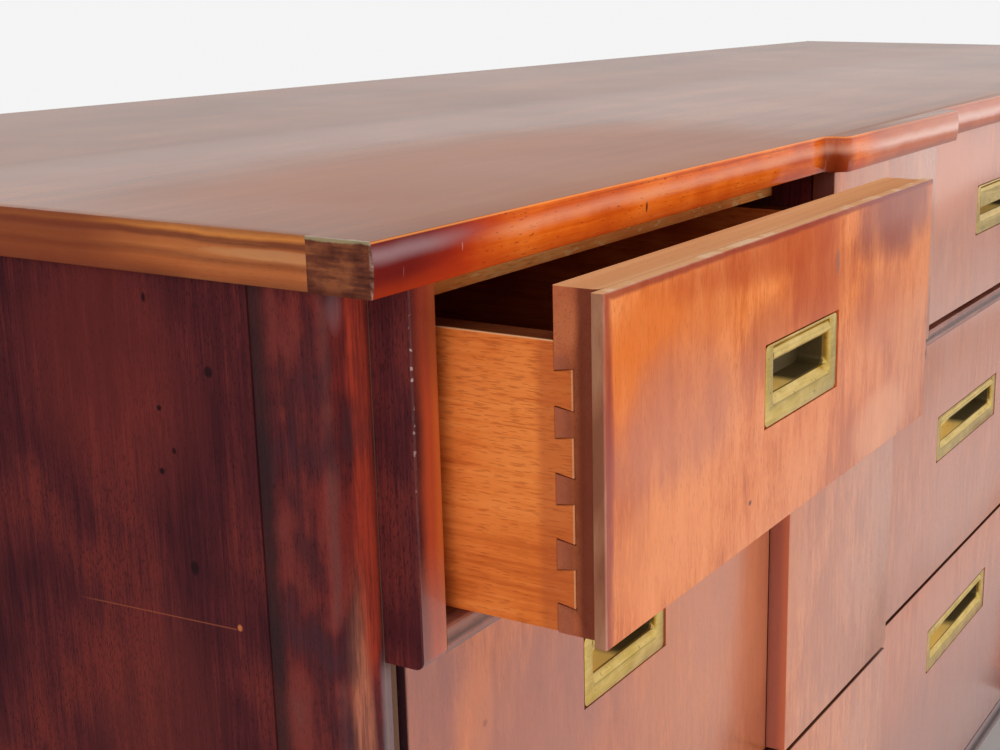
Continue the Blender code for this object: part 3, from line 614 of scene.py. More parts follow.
def noseMarks(mat):
    low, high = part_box("top_front_moulding")
    bulge, after = -0.4055, (-0.397, -0.34)
    up = mat.z - low[2] + mat.drift * 0.004
    along = mat.x + mat.grit * 0.03 - up * 0.9
    mat.stain(fall(along, low[0] + 0.03, low[0] + 0.1) * 0.92, (0.4, 0.026, 0.008))
    mat.stain(fall(along, low[0] + 0.005, low[0] + 0.055) * 0.9, (0.11, 0.009, 0.009))
    # painted shade: darker towards the bottom of the rounded nose
    mat.stain(fade(up, 0.0, 0.0075, 0.55, 0.0), (0.42, 0.04, 0.008))
    # painted reflection: a pale band high on the nose near the left end
    paintedReflection = near(up, 0.0142, 0.0046) * fall(along, low[0] + 0.01, low[0] + 0.06)
    mat.stain(paintedReflection * 0.55, (0.4, 0.25, 0.26))
    # painted shade: the lump at the block's corner darker, most in its lower part
    lump = near(mat.x, bulge, 0.017) * fade(up, 0.012, 0.017, 1.0, 0.5)
    mat.stain(lump * 0.9, (0.22, 0.03, 0.01))
    # painted highlight: a pale orange band across the nose's upper middle
    paintedHighlight = near(up, 0.0124, 0.0042) * fade(mat.x, low[0] + 0.05, low[0] + 0.1)
    mat.stain(paintedHighlight * 0.45, (0.92, 0.42, 0.25))
    rim = near(mat.z, high[2] - 0.0004, 0.0006)
    mat.stain(rim * 0.7, (0.95, 0.34, 0.09))
    under = near(mat.z, high[2] - 0.0018, 0.0007) * fade(mat.x, low[0] + 0.06, low[0] + 0.16)
    mat.stain(under * 0.5, (0.3, 0.04, 0.012))
    later = fade(mat.x, *after)
    # right of the lump: a duller, pinker tone that is partly the wood's own and partly painted reflection, a
    # painted pink highlight across the middle, and painted shade along the bottom
    mat.stain(later * 0.65, (0.42, 0.135, 0.08))
    mat.stain(later * near(up, 0.0098, 0.0044) * 0.6, (0.86, 0.54, 0.46))
    mat.stain(later * fall(up, 0.0012, 0.0042) * 0.6, (0.3, 0.09, 0.055))
    mat.coat = fade(mat.x, -0.76, -0.3, 0.05, 1.0)
    mat.blots(mat.x, mat.z, [
        (-0.608, 0.7629, 0.0012, 0.003, (0.07, 0.012, 0.008), 0.9),
        (-0.7429, 0.7665, 0.0004, 0.002, (0.62, 0.4, 0.35), 0.35),
        (-0.7766, 0.763, 0.0003, 0.0022, (0.46, 0.2, 0.16), 0.25),
    ])
    ends = near(mat.x, low[0], 0.0005) + near(mat.x, high[0], 0.0005)
    speck = mat.noise(mat.stretched((90, 90, 160)), detail=4.0, rough=0.6)
    scratch = mat.noise(mat.stretched((300, 80, 900), turn=(0.8, 0, 0)), detail=1.0)
    endTone = ramp(speck * 0.75 + scratch * 0.25, [
        (0.36, (0.06, 0.018, 0.013)), (0.5, (0.13, 0.038, 0.021)), (0.62, (0.23, 0.072, 0.031)),
    ])
    mat.stain(ends, endTone)
    # painted shade: the end faces darker towards the bottom
    mat.stain(ends * fade(mat.z, low[2], low[2] + 0.0035, 0.6, 0.0), (0.05, 0.012, 0.01))
    chips = (speck - 0.5) * 0.003
    mat.stain(ends * fade(mat.z + chips, high[2] - 0.0014, high[2] - 0.0006) * 0.75, (0.33, 0.27, 0.15))
    front = fall(mat.y + chips, low[1] + blockProud + 0.0009, low[1] + blockProud + 0.0018)
    mat.stain(ends * front * fade(speck, 0.4, 0.6) * 0.7, (0.5, 0.31, 0.26))
    mat.coat = mat.coat * (1.0 - ends)
    crown(mat)


def stripMarks(mat):
    # bands of the edge strip, brightest beside the end block
    low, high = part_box("top_end_strip_left")
    deep = high[2] - low[2]
    up = (mat.z - low[2]) / deep + mat.drift * 0.25
    # up the strip's height; the dark band at the very bottom is painted shade under its rounded lower edge
    bands = ramp(up, [
        (0.0, (0.14, 0.034, 0.015)), (0.16, (0.28, 0.068, 0.022)), (0.3, (0.4, 0.106, 0.032)),
        (0.44, (0.2, 0.05, 0.019)), (0.54, (0.44, 0.135, 0.042)), (0.7, (0.38, 0.104, 0.031)),
        (0.77, (0.12, 0.029, 0.014)), (0.84, (0.15, 0.037, 0.017)), (0.91, (0.58, 0.2, 0.042)),
        (1.0, (0.3, 0.1, 0.03)),
    ])
    mat.colour = mat.blend(0.75, mat.colour, bands)
    pale = blot(mat.y, mat.z, (low[1] + 0.012, low[2] + deep * 0.58, 0.045, 0.0022), mat.grit * 2.0)
    mat.stain(pale * 0.3, (0.62, 0.36, 0.17))
    behind = fade(mat.y + mat.drift * 0.06, low[1] + 0.05, low[1] + 0.11)
    mat.stain(behind * 0.75, (0.17, 0.034, 0.015))
    crown(mat)


def panelMarks(mat):
    left = fall(mat.x, -0.7, -0.6)
    mat.blots(mat.y, mat.z, panelStains, left)
    line = near(mat.z + (mat.y + 0.0686) * 0.032, 0.6205, 0.0004)
    span = fade(mat.y, -0.152, -0.146) * fall(mat.y, -0.08, -0.064)
    mat.stain(line * span * left * 0.6, (0.34, 0.09, 0.04))


def postMarks(mat):
    # mottled red to the front, with painted shade near black by the side panel, and a painted pale tan highlight
    # and a painted grey highlight low down
    low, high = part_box("post_front_left")
    middle = (low[1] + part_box("post_back_left")[1][1]) / 2
    across = 0.0 - size(mat.x)
    deep = middle - size(mat.y - middle)
    shoulder = high[0] - stileWide
    patches = mat.clouds * 0.6 + mat.mottle * 0.4
    mat.stain(fade(patches, 0.48, 0.6) * 0.48, (0.22, 0.026, 0.019))
    mat.stain(fall(patches, 0.4, 0.52) * 0.4, (0.06, 0.028, 0.034))
    wild = mat.grit * 0.008
    brown = near(across + wild, low[0] + 0.003, 0.0045) * fade(mat.clouds, 0.4, 0.62)
    mat.stain(brown * 0.6, (0.135, 0.05, 0.044))
    veined = 0.35 + fade(mat.fibres * 0.5 + mat.mottle * 0.5, 0.38, 0.6) * 0.6
    red = near(across + wild, low[0] + 0.018, 0.0085) * fade(mat.z, 0.6, 0.625, 0.05, 1.0)
    mat.stain(fade(red, 0.0, 0.7) * veined, (0.4, 0.048, 0.024))
    # painted shade: a near black band beside the seam with the side panel
    mat.stain(fade(deep + wild * 0.3, -0.1735, -0.1665) * 0.75, (0.024, 0.014, 0.015))
    # painted highlight: a pale tan band low down on the round
    tan = near(across + wild * 0.6, low[0] + 0.012, 0.009) * fall(mat.z, 0.58, 0.68)
    mat.stain(fade(tan, 0.0, 0.8) * (veined * 0.8 + 0.05), (0.44, 0.15, 0.085))
    # painted highlight: a grey band low down near the front
    grey = fade(across, low[0] + 0.0205, low[0] + 0.0245) * fall(mat.z, 0.6, 0.62)
    mat.stain(grey * 0.6, (0.26, 0.2, 0.2))
    smudge = (low[0] + 0.0078, 0.748, 0.0045, 0.012, (0.26, 0.19, 0.21), 0.22)
    mat.blots(across, mat.z, [smudge])
    joint = near(across, low[0] + 0.0247, 0.0005)
    mat.stain(joint * 0.6, (0.26, 0.17, 0.11))
    mat.stain(fade(across, shoulder - 0.0004, shoulder) * 0.85, (0.13, 0.06, 0.03))


def stileMarks(mat):
    low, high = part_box("frieze_stile_left")
    across = 0.0 - size(mat.x)
    face = fade(across, low[0] + 0.0001, low[0] + 0.0005)
    along = across + mat.drift * 0.006
    mat.stain(face * fade(along, low[0] + 0.001, low[0] + 0.008) * 0.9, (0.5, 0.076, 0.028))
    mat.stain(face * fade(along, low[0] + 0.009, low[0] + 0.0135) * 0.6, (0.66, 0.16, 0.03))
    dark = fade(mat.z + mat.drift * 0.05, 0.7, 0.74)
    mat.stain(face * dark * 0.5, (0.16, 0.026, 0.02))
    # painted reflection: the face paler and pinker low down
    pale = face * fall(mat.z, 0.625, 0.66)
    mat.stain(pale * 0.5, (0.46, 0.2, 0.16))
    arris = near(across - low[0] + mat.y - low[1], 0.0004, 0.0005)
    nicks = fade(mat.noise(mat.stretched((300, 300, 420)), detail=2.0), 0.58, 0.64)
    nicks = nicks * fade(mat.z, 0.66, 0.72)
    mat.stain(arris * (nicks * 0.75 + 0.05), (0.5, 0.36, 0.34))
    # painted reflection: a grey band along the rounded lower edge
    lower = fall(mat.z, low[2] + 0.001, low[2] + 0.0042) * face
    mat.stain(lower * 0.7, (0.24, 0.18, 0.19))
    mat.coat = 0.05 + face * 0.4


def railMarks(mat):
    # a painted grey reflection along the rounded lower edge
    low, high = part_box("frieze_rail")
    lower = fall(mat.z, low[2] + 0.001, low[2] + 0.0042)
    mat.stain(lower * 0.8, (0.22, 0.18, 0.18))
    mat.coat = 0.85 - lower * 0.5


def arrisMarks(mat, low, high, tone, share, wide=0.0007):
    # pale lines down both ends and along the upper edge, partly wear and partly painted highlight on the rounded
    # arrises
    ends = most(near(mat.x, low[0], wide), near(mat.x, high[0], wide))
    edge = most(ends, near(mat.z, high[2], wide))
    broken = fade(mat.mottle, 0.35, 0.6)
    mat.stain(edge * (broken * 0.6 + 0.4) * share, tone)


def openMarks(mat):
    low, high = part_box("top_left_drawer_facing")
    mat.blots(mat.x, mat.z, openStains)
    wild = mat.grit * 0.008
    border = most(fall(mat.x + wild * 0.5, low[0] + 0.0012, low[0] + 0.0052),
                  fade(mat.z + wild * 0.3, high[2] - 0.0032, high[2] - 0.0014))
    mat.stain(border * 0.75, (0.25, 0.036, 0.026))
    arrisMarks(mat, low, high, (0.62, 0.32, 0.24), 0.6, 0.0004)
    lower = fade(mat.z, low[2] + 0.055, low[2] + 0.108, 1.0, 0.08)
    mat.coat = most(lower, fade(mat.x, -0.6, -0.45, 0.0, 0.65))
    # the end and the upper edge, bare of lacquer
    end = near(mat.x, low[0], 0.0002) * fade(mat.y, low[1] + 0.0006, low[1] + 0.0014)
    mat.stain(end, ramp(mat.clouds + mat.mottle - 0.5, [
        (0.35, (0.21, 0.074, 0.04)), (0.5, (0.28, 0.108, 0.058)), (0.68, (0.35, 0.165, 0.095)),
    ]))
    upper = fade(mat.z, high[2] - 0.0002, high[2] - 0.00005) * fade(mat.y, low[1] + 0.0005, low[1] + 0.0012)
    flakes = fade(mat.mottle * 0.5 + mat.clouds * 0.5 + mat.x * 0.25, 0.38, 0.44)
    mat.stain(upper, mat.blend(flakes * 0.6, (0.66, 0.33, 0.16), (0.78, 0.54, 0.36)))
    mat.coat = mat.coat * (1.0 - most(end, upper))


def sideFrontMarks(mat):
    low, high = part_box("middle_left_drawer_front")
    mat.stain(fade(mat.clouds * 0.6 + mat.bands * 0.4, 0.4, 0.62) * 0.65, (0.38, 0.105, 0.055))
    mat.blots(mat.x, mat.z, sideStains)
    arrisMarks(mat, low, high, (0.55, 0.3, 0.24), 0.3)
    # painted shade: the left end face, seen in the gap beside it, near black
    end = near(mat.x, low[0], 0.0002) * fade(mat.y, low[1] + 0.0006, low[1] + 0.0012)
    mat.stain(end, (0.05, 0.016, 0.02))
    mat.coat = 0.9 * (1.0 - end)


def centreFrontMarks(mat):
    # duller and more purple between the blocks
    low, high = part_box("middle_centre_drawer_front")
    left, right = low[0] + blockWide, high[0] - blockWide
    recess = fade(mat.x, left, left + 0.0004) * fall(mat.x, right - 0.0004, right)
    cloudy = fade(mat.clouds * 0.6 + mat.bands * 0.4, 0.36, 0.6)
    mat.stain(recess * (cloudy * 0.45 + 0.12), (0.38, 0.115, 0.07))
    bright = blot(mat.x, mat.z, (-0.16, 0.735, 0.14, 0.05), mat.drift * 1.5)
    mat.stain(recess * bright * 0.7, (0.7, 0.24, 0.13))
    mat.stain(fade(cloudy, 0.5, 1.0) * (1.0 - recess) * 0.4, (0.4, 0.12, 0.06))
    # painted shade: the recess darker towards the bottom
    lowShade = recess * fall(mat.z + (mat.bands - 0.5) * 0.1, 0.26, 0.4)
    mat.stain(lowShade * 0.5, (0.22, 0.06, 0.05))
    arrisMarks(mat, low, high, (0.72, 0.4, 0.3), 0.35)
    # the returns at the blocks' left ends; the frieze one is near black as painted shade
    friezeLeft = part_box("top_centre_drawer_front")[0][0]
    frieze = fade(mat.z, 0.6, 0.62)
    lowerEnd = near(mat.x, low[0], 0.0003) * (1.0 - frieze)
    friezeEnd = near(mat.x, friezeLeft, 0.0003) * frieze
    end = most(lowerEnd, friezeEnd)
    mat.stain(end * 0.9, mat.blend(frieze, (0.34, 0.075, 0.045), (0.11, 0.018, 0.013)))
    # painted highlight: an orange line along the front arris of the lower returns
    arris = fall(mat.y, low[1] + 0.001, low[1] + 0.007)
    mat.stain(lowerEnd * arris * 0.7, (0.62, 0.15, 0.055))
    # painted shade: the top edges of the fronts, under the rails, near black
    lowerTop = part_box("bottom_centre_drawer_front")[1][2]
    tops = most(near(mat.z, high[2], 0.0004), near(mat.z, lowerTop, 0.0004))
    mat.stain(tops * 0.9, (0.03, 0.008, 0.005))
    mat.coat = 1.0 - most(end, tops) * 0.9


def coreMarks(mat):
    # tan worn top, light end, and painted shade on the rounded front arris
    low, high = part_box("top_left_drawer_front")
    mat.stain(0.6, (0.42, 0.11, 0.045))
    # painted shade: darker along the front of the core, at its rounded corner next to the facing
    dark = fall(mat.y, low[1] + 0.0072, low[1] + 0.0112)
    mat.stain(dark * 0.85, (0.13, 0.026, 0.015))
    pins = fade(mat.y, low[1] + 0.0117, low[1] + 0.0125) * fall(mat.z, high[2] - 0.026, high[2] - 0.024)
    mat.stain(pins * 0.55, (0.3, 0.085, 0.05))
    upper = fade(mat.z, high[2] - 0.0003, high[2] - 0.0001)
    tone = mat.blend(fade(mat.bands, 0.35, 0.65), (0.62, 0.26, 0.11), (0.74, 0.37, 0.17))
    mat.stain(upper * 0.95, tone)


def liningMarks(mat):
    # dovetail tails a little browner, dark flecks, painted shade on the upper edge, and a pale corner
    low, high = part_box("top_left_drawer_side_left")
    mat.stain(fall(mat.y, low[1] + 0.012, low[1] + 0.017) * 0.6, (0.42, 0.09, 0.026))
    flecks = mat.noise(mat.stretched((80, 75, 900)), detail=3.0)
    flecks = fade(flecks + (mat.z - 0.7) * 0.9 - (mat.y - low[1]) * 0.5, 0.58, 0.68)
    mat.stain(flecks * 0.32, (0.34, 0.06, 0.014))
    tips = near(mat.y, low[1] + 0.0003, 0.0005)
    mat.stain(tips * 0.6, (0.75, 0.42, 0.22))
    # painted shade: the upper edge face near black
    mat.stain(fade(mat.z, high[2] - 0.0003, high[2] - 0.0001) * 0.9, (0.05, 0.012, 0.006))
    edge = near(mat.z, high[2] - 0.0003, 0.0005) * near(mat.x, low[0], 0.0008)
    mat.stain(edge * 0.7, (0.8, 0.46, 0.24))


def innerRailMarks(mat):
    speck = fade(mat.noise(mat.stretched((90, 200, 300)), detail=2.0), 0.6, 0.66)
    mat.stain(speck * 0.7, (1.0, 0.62, 0.26))


topWood = wood("topWood", topLook, topMarks)
noseWood = wood("noseWood", noseLook, noseMarks)
stripWood = wood("stripWood", stripLook, stripMarks)
caseWood = wood("caseWood", caseLook, postMarks)
sideWood = wood("sideWood", caseLook, panelMarks)
stileWood = wood("stileWood", caseLook, stileMarks)
railWood = wood("railWood", railLook, railMarks)
liningWood = wood("liningWood", liningLook, liningMarks)
# the rail's own pale tan, raised close to full brightness as painted light under the top
innerRailWood = wood("innerRailWood", {
    **liningLook, "grain": "X", "tones": ((0.84, 0.26, 0.06), (0.96, 0.38, 0.1), (1.0, 0.52, 0.18)),
    "pores": 0.3,
}, innerRailMarks)
backWood = wood("backWood", {
    **coreLook, "tones": ((0.22, 0.07, 0.028), (0.32, 0.105, 0.042), (0.4, 0.14, 0.06)), "bands": (2.5, 34.0),
})
coreWood = wood("coreWood", coreLook, coreMarks)
openFrontWood = wood("openFrontWood", frontLook, openMarks)
sideFrontWood = wood("sideFrontWood", {
    **frontLook, "tones": ((0.38, 0.095, 0.032), (0.52, 0.14, 0.044), (0.66, 0.195, 0.07)),
    "shift": (1.7, 0.3, 2.2), "specular": 0.3,
}, sideFrontMarks)
centreFrontWood = wood("centreFrontWood", {
    **frontLook, "tones": ((0.46, 0.12, 0.038), (0.6, 0.18, 0.062), (0.72, 0.25, 0.1)),
    "shift": (5.7, 0.3, 1.2), "specular": 0.5,
}, centreFrontMarks)
print("stage: materials")


# The stepped boards: top moulding, frieze rail and base rail

def blockSpans():
    low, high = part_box("middle_centre_drawer_front")
    return (low[0], low[0] + blockWide), (high[0] - blockWide, high[0])


def steppedHalf(name, left, right, face, back, shape, profile):
    # a flat outline that steps forward over the blocks, then rises through its profile
    piece = plane(name, ((left + right) / 2, (face + back) / 2, 0.0), (right - left, back - face, 1.0))
    lap = shape["lap"]
    spans = [(start - lap, end + lap) for start, end in blockSpans()]
    steps = [x for span in spans for x in span]
    for x in steps:
        splitAt(piece, 0, x)

    def overBlock(edge):
        low, high = spanOf(edge, 0)
        return at(edge, 1, face) and any(start - tiny < low and high < end + tiny for start, end in spans)

    pick(piece, "EDGE", overBlock)
    shove((0.0, -blockProud, 0.0))
    leave()
    pick(piece)
    bpy.ops.mesh.dissolve_faces()
    leave()
    pick(piece, "VERT", lambda vert: abs(vert.co.y - face + blockProud) < tiny)
    bpy.ops.mesh.bevel(offset=shape["corner"], segments=shape["cornerSteps"], affect="VERTICES")
    leave()
    if shape["hollow"]:
        pick(piece, "VERT", lambda vert: abs(vert.co.y - face) < tiny
             and any(abs(vert.co.x - x) < tiny for x in steps))
        bpy.ops.mesh.bevel(offset=shape["hollow"], segments=shape["cornerSteps"], affect="VERTICES")
        leave()
    pick(piece)
    for inset, rise in profile:
        if inset > 0.000001:
            bpy.ops.mesh.inset(thickness=inset, depth=rise, use_even_offset=True, use_boundary=True)
        else:
            shove((0.0, 0.0, rise))
    leave()
    return piece


def quarterRound(half, radius, steps):
    # straight up to where the round starts, then over it
    profile = [(0.0, half - radius)] if half - radius > tiny else []
    for i in range(steps):
        a, b = (math.pi / 2 * k / steps for k in (i, i + 1))
        profile.append((radius * (math.cos(a) - math.cos(b)), radius * (math.sin(b) - math.sin(a))))
    return profile


def shallowRound(half, bulge, arris, steps):
    # a wide flat curve that ends in a small round arris
    radius = (half * half + bulge * bulge) / (2 * bulge)
    turn = math.asin((half - arris) / (radius - arris))
    centreIn = radius - (radius - arris) * math.cos(turn)
    angles = [turn * i / steps for i in range(steps + 1)]
    points = [(radius * (1 - math.cos(a)), radius * math.sin(a)) for a in angles]
    for i in range(1, 4):
        a = turn + (math.pi / 2 - turn) * i / 3
        points.append((centreIn - arris * math.cos(a), half - arris + arris * math.sin(a)))
    return [(b[0] - a[0], b[1] - a[1]) for a, b in zip(points, points[1:])]


def steppedBoard(name, node, shape, material):
    low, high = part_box(node)
    spare = shape["spare"]
    ends = (low[0] - spare, high[0] + spare, low[1] + blockProud, high[1] + spare)
    half = (high[2] - low[2]) / 2
    if "bulge" in shape:
        profiles = [shallowRound(half, shape["bulge"], shape["arris"], shape["steps"])] * 2
    else:
        profiles = [quarterRound(half, shape[key], shape["steps"]) for key in ("upperRound", "lowerRound")]
    upper, lower = (steppedHalf(name, *ends, shape, profile) for profile in profiles)
    lower.scale.z = -1.0
    settle(lower)
    upper.select_set(True)
    bpy.context.view_layer.objects.active = upper
    bpy.ops.object.join()
    weld(upper)
    splitAt(upper, 0, high[0], 1)
    splitAt(upper, 0, low[0], -1)
    splitAt(upper, 1, high[1], 1)
    upper.location.z = (low[2] + high[2]) / 2
    settle(upper)
    dress(sleek(upper, 40), node, material)


def makeSteppedBoards():
    nose = {
        "lap": 0.011, "corner": 0.007, "hollow": 0.0045, "cornerSteps": 10, "spare": 0.02,
        "bulge": 0.001, "arris": 0.0006, "steps": 8,
    }
    steppedBoard("noseMoulding", "top_front_moulding", nose, noseWood)
    rail = {
        "lap": 0.0, "corner": 0.0042, "hollow": 0.0, "cornerSteps": 6, "spare": 0.006,
        "upperRound": 0.0015, "lowerRound": 0.004, "steps": 5,
    }
    steppedBoard("friezeRail", "frieze_rail", rail, railWood)
    base = dict(rail, upperRound=0.001, lowerRound=0.002, corner=0.0022, steps=3, spare=0.004)
    steppedBoard("baseRail", "base_rail", base, railWood)


makeSteppedBoards()
print("stage: stepped boards")


# Top board, end strips, posts and stiles

def eachSide(node):
    # side, sign, corners and outer face of the left and the right node
    for side, sign in (("left", -1), ("right", 1)):
        low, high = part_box(node + side)
        yield side, sign, low, high, low[0] if sign < 0 else high[0]


def makeBoards():
    # the board and the strips close up to the moulding and to each other
    shape = {"rearRound": 0.002, "endRound": 0.0012, "steps": 3}
    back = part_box("top_front_moulding")[1][1] + tiny
    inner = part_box("top_end_strip_left")[1][0] + tiny
    low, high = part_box("top_panel")
    rear = high[1]
    board = cube("topBoard", (inner, back, low[2]), (-inner, rear, high[2]))
    roundEdges(board, lambda edge: at(edge, 1, rear), shape["rearRound"], shape["steps"])
    dress(sleek(board), "top_panel", topWood)
    for side, sign, low, high, outer in eachSide("top_end_strip_"):
        strip = cube("endStrip_" + side, (low[0], back, low[2]), high)
        roundEdges(strip, lambda edge: at(edge, 0, outer) and not at(edge, 1, back),
                   shape["endRound"], shape["steps"])
        dress(sleek(strip), "top_end_strip_" + side, stripWood)


def makePosts():
    shape = {"round": 0.028, "steps": 24, "setback": 0.0035, "backRound": 0.008, "backSteps": 10}
    for side, sign, low, high, outer in eachSide("post_front_"):
        shoulder = (high[0] if sign < 0 else low[0]) + sign * stileWide
        reach = min(outer, shoulder), max(outer, shoulder)
        post = cube("cornerPost_" + side, (reach[0], low[1], low[2]), (reach[1], high[1], high[2]))
        splitAt(post, 1, low[1] + shape["setback"])
        behind = low[1] + shape["round"]
        pick(post, "FACE", lambda face: at(face, 0, shoulder) and spanOf(face, 1)[1] > behind)
        shove((-sign * stileWide, 0.0, 0.0))
        leave()
        roundEdges(post, lambda edge: at(edge, 0, outer) and at(edge, 1, low[1]),
                   shape["round"], shape["steps"])
        dress(sleek(post, 30), "post_front_" + side, caseWood)
        low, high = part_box("post_back_" + side)
        outer = low[0] if sign < 0 else high[0]
        post = cube("rearPost_" + side, low, high)
        roundEdges(post, lambda edge: at(edge, 0, outer) and at(edge, 1, high[1]),
                   shape["backRound"], shape["backSteps"])
        dress(sleek(post, 30), "post_back_" + side, caseWood)


def makeStiles():
    lowerRound, lowerSteps, arris, arrisSteps = 0.004, 6, 0.0006, 3
    for side, sign, low, high, outer in eachSide("frieze_stile_"):
        stile = cube("friezeStile_" + side, low, high)
        roundEdges(stile, lambda edge: at(edge, 1, low[1]) and at(edge, 2, low[2]), lowerRound, lowerSteps)
        roundEdges(stile, lambda edge: at(edge, 1, low[1]) and at(edge, 0, outer), arris, arrisSteps)
        dress(sleek(stile, 40), "frieze_stile_" + side, stileWood)


makeBoards()
makePosts()
makeStiles()
print("stage: boards, posts and stiles")


# Drawer fronts

front = {
    "arris": 0.0007, "steps": 3, "sharp": 0.6, "lap": 0.0006, "core": 0.025, "seatPlay": 0.0007,
    "seatRight": 0.0018, "seatDeep": 0.0027, "pocketPlay": 0.0004, "spare": 0.004, "pocketDeep": 0.0184,
    "coreRound": 0.004, "coreSteps": 8, "jointArris": 0.0003, "flat": 0.01,
}


def mortised(piece, drawer):
    # the shallow seat of the plate and the deep pocket of its cup
    low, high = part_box(drawer + "_pull_plate")
    face, play, spare = low[1], front["seatPlay"], front["spare"]
    seatHigh = (high[0] + play + front["seatRight"], face + front["seatDeep"], high[2] + play)
    carve(piece, cube("seat", (low[0] - play, face - spare, low[2] - play), seatHigh))
    inner = pull["side"] - pull["wall"] - front["pocketPlay"]
    pocketLow = (low[0] + inner, face - spare, low[2] + pull["foot"] - pull["bevel"] - pull["wall"] - play)
    pocketHigh = (high[0] - inner, face + front["pocketDeep"], high[2] + play / 2)
    return carve(piece, cube("pocket", pocketLow, pocketHigh))


def frontArris(face):
    def test(edge):
        sharp = edge.is_convex and len(edge.link_faces) == 2 and edge.calc_face_angle() > front["sharp"]
        return sharp and spanOf(edge, 1)[1] < face + front["lap"] / 2
    return test


def plainFront(name, node):
    low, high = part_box(node)
    board = cube(name, low, high)
    roundEdges(board, frontArris(low[1]), front["arris"], front["steps"])
    return board


def blockedFront(name, node):
    low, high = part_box(node)
    face = low[1] + blockProud
    board = cube(name, (low[0], face, low[2]), (high[0], face + front["lap"], high[2]))
    left, right = low[0] + blockWide, high[0] - blockWide
    core = (low[0] + front["core"], high[0] - front["core"])
    for x in (core[0], left, right, core[1]):
        splitAt(board, 0, x)

    def onBlock(part):
        a, b = spanOf(part, 0)
        return at(part, 1, face) and (b < left + tiny or a > right - tiny)

    pick(board, "FACE", onBlock)
    shove((0.0, -blockProud, 0.0))
    leave()
    pick(board, "FACE", lambda part: at(part, 1, face + front["lap"])
         and spanOf(part, 0)[0] > core[0] - tiny and spanOf(part, 0)[1] < core[1] + tiny)
    shove((0.0, high[1] - face - front["lap"], 0.0))
    leave()
    roundEdges(board, frontArris(face), front["arris"], front["steps"])
    return board


pushedIn = ("top_left", "middle_left", "middle_centre", "bottom_centre")


def copyNode(node, name):
    # the CAD node's solid as one merged mesh of flat faces
    twin = copyOf(frame["nodes"][node], name, (0.0, 0.0, 0.0))
    pick(twin)
    bpy.ops.mesh.remove_doubles(threshold=weldReach / 2)
    bpy.ops.mesh.dissolve_limited(angle_limit=front["flat"])
    leave()
    return twin


def makeOpenDrawer():
    # facing and core of the open drawer, and its two dovetailed sides
    facing = plainFront("facing_top_left", "top_left_drawer_facing")
    mortised(facing, "top_left_drawer")
    dress(sleek(facing, 35), "top_left_drawer_facing", openFrontWood)
    low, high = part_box("top_left_drawer_front")
    core = copyNode("top_left_drawer_front", "core_top_left")
    roundEdges(core, lambda edge: at(edge, 0, low[0]) and at(edge, 1, low[1]),
               front["coreRound"], front["coreSteps"])
    dress(sleek(core, 30), "top_left_drawer_front", coreWood)
    for side in ("left", "right"):
        node = "top_left_drawer_side_" + side
        board = soften(copyNode(node, "drawerSide_top_" + side), front["jointArris"], 1, 50)
        dress(sleek(board, 25), node, liningWood)


def makeFronts():
    makeOpenDrawer()
    for name, centre in drawers[1:]:
        node = name + "_drawer_front"
        board = (blockedFront if centre else plainFront)("front_" + name, node)
        mortised(board, name + "_drawer")
        dress(sleek(board, 35), node, centreFrontWood if centre else sideFrontWood)


makeFronts()
print("stage: drawer fronts")


# Flush pulls: one plate and one flap of each width, then copies

def makePlate(name, wide, high):
    # its lower left front corner stands at zero
    plate = cube(name, (0.0, 0.0, 0.0), (wide, pull["plate"], high))
    roundEdges(plate, lambda edge: runs(edge, 1), pull["round"], pull["roundSteps"])
    inner = pull["side"] - pull["wall"]
    cupFoot = pull["foot"] - pull["bevel"] - pull["wall"]
    cup = cube("cup", (inner, pull["plate"] / 2, cupFoot),
               (wide - inner, pull["cupDeep"] + pull["wall"], high - pull["play"]))
    carve(plate, cup, "UNION")
    void = cube("void", (pull["side"], -pull["plate"], pull["foot"]),
                (wide - pull["side"], pull["cupDeep"], high - pull["roof"]))
    roundEdges(void, lambda edge: at(edge, 2, pull["foot"]) and runs(edge, 1),
               pull["cupRound"], pull["cupSteps"])
    splitAt(void, 1, pull["bevelDeep"])
    slope = pull["bevel"] * (pull["bevelDeep"] + pull["plate"]) / pull["bevelDeep"]
    pick(void, "VERT", lambda vert: vert.co.y < -tiny and vert.co.z < high / 2)
    bpy.ops.transform.translate(value=(0.0, 0.0, -slope))
    leave()
    carve(plate, void)
    soften(plate, pull["arris"], 2, 30)
    return sleek(plate, 35)


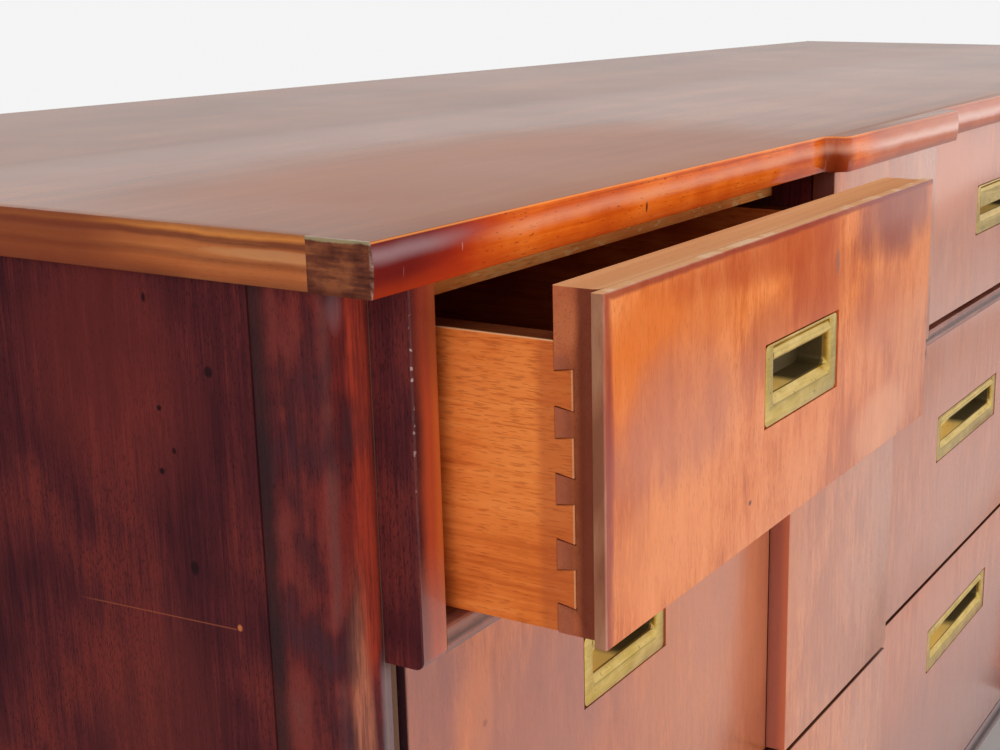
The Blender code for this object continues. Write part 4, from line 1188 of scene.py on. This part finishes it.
def makeFlap(name, wide):
    # its pivot stands at zero; a strip is spun from behind over the pivot and run down as the flap
    half = wide / 2 - pull["side"] - pull["play"]
    radius, thick = pull["knuckle"], pull["flap"]
    flap = plane(name, (0.0, radius - thick / 2, 0.0), (half * 2, thick, 1.0))
    pick(flap)
    bpy.ops.mesh.spin(steps=pull["flapSteps"], angle=-math.pi, center=(0, 0, 0), axis=(1, 0, 0))
    leave()
    pick(flap, "FACE", lambda part: at(part, 2, 0.0) and spanOf(part, 1)[1] < 0.0)
    shove((0.0, 0.0, radius - pull["flapHigh"]))
    leave()
    weld(flap)
    for sign in (-1, 1):
        deselect()
        centre = sign * (half - pull["knuckleWide"] / 2)
        bpy.ops.mesh.primitive_cylinder_add(
            vertices=pull["knuckleSteps"], radius=radius - pull["knuckleIn"],
            depth=pull["knuckleWide"] - pull["knuckleShort"],
            location=(centre, 0.0, 0.0), rotation=(pull["knuckleTurn"], math.pi / 2, 0.0),
        )
        carve(flap, settle(bpy.context.object), "UNION")
    soften(flap, pull["arris"], 2, 40)
    return sleek(flap, 35)


def makePulls():
    first = {}
    for name, centre in drawers:
        low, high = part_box(name + "_drawer_pull_plate")
        if centre not in first:
            wide = high[0] - low[0]
            first[centre] = makePlate("plate", wide, high[2] - low[2]), makeFlap("flap", wide)
        metal = brass("brass_" + name, low, high)
        plate = copyOf(first[centre][0], "pullPlate_" + name, low)
        dress(plate, name + "_drawer_pull_plate", metal)
        flap = copyOf(first[centre][1], "pullFlap_" + name, (0.0, 0.0, 0.0))
        if name in pushedIn:
            flap.rotation_euler.x = math.radians(pull["pushedIn"])
        flap.location = pivots[name + "_flap"]
        settle(flap)
        dress(flap, name + "_drawer_pull_flap", metal)
    for pair in first.values():
        for piece in pair:
            bpy.data.objects.remove(piece, do_unlink=True)


makePulls()
print("stage: pulls")


# CAD nodes that show as they are

def paintNodes():
    plainNodes = {"inner_top_rail": innerRailWood, "bottom_panel": backWood, "back_panel": backWood}
    for node, piece in frame["nodes"].items():
        if "side_panel" in node or "divider" in node:
            material = sideWood
        elif "_box" in node or node.endswith(("_back", "_bottom")):
            material = liningWood
        elif node in plainNodes:
            material = plainNodes[node]
        else:
            continue
        for slot in piece.material_slots:
            slot.material = material


paintNodes()
print("stage: carried-over nodes")
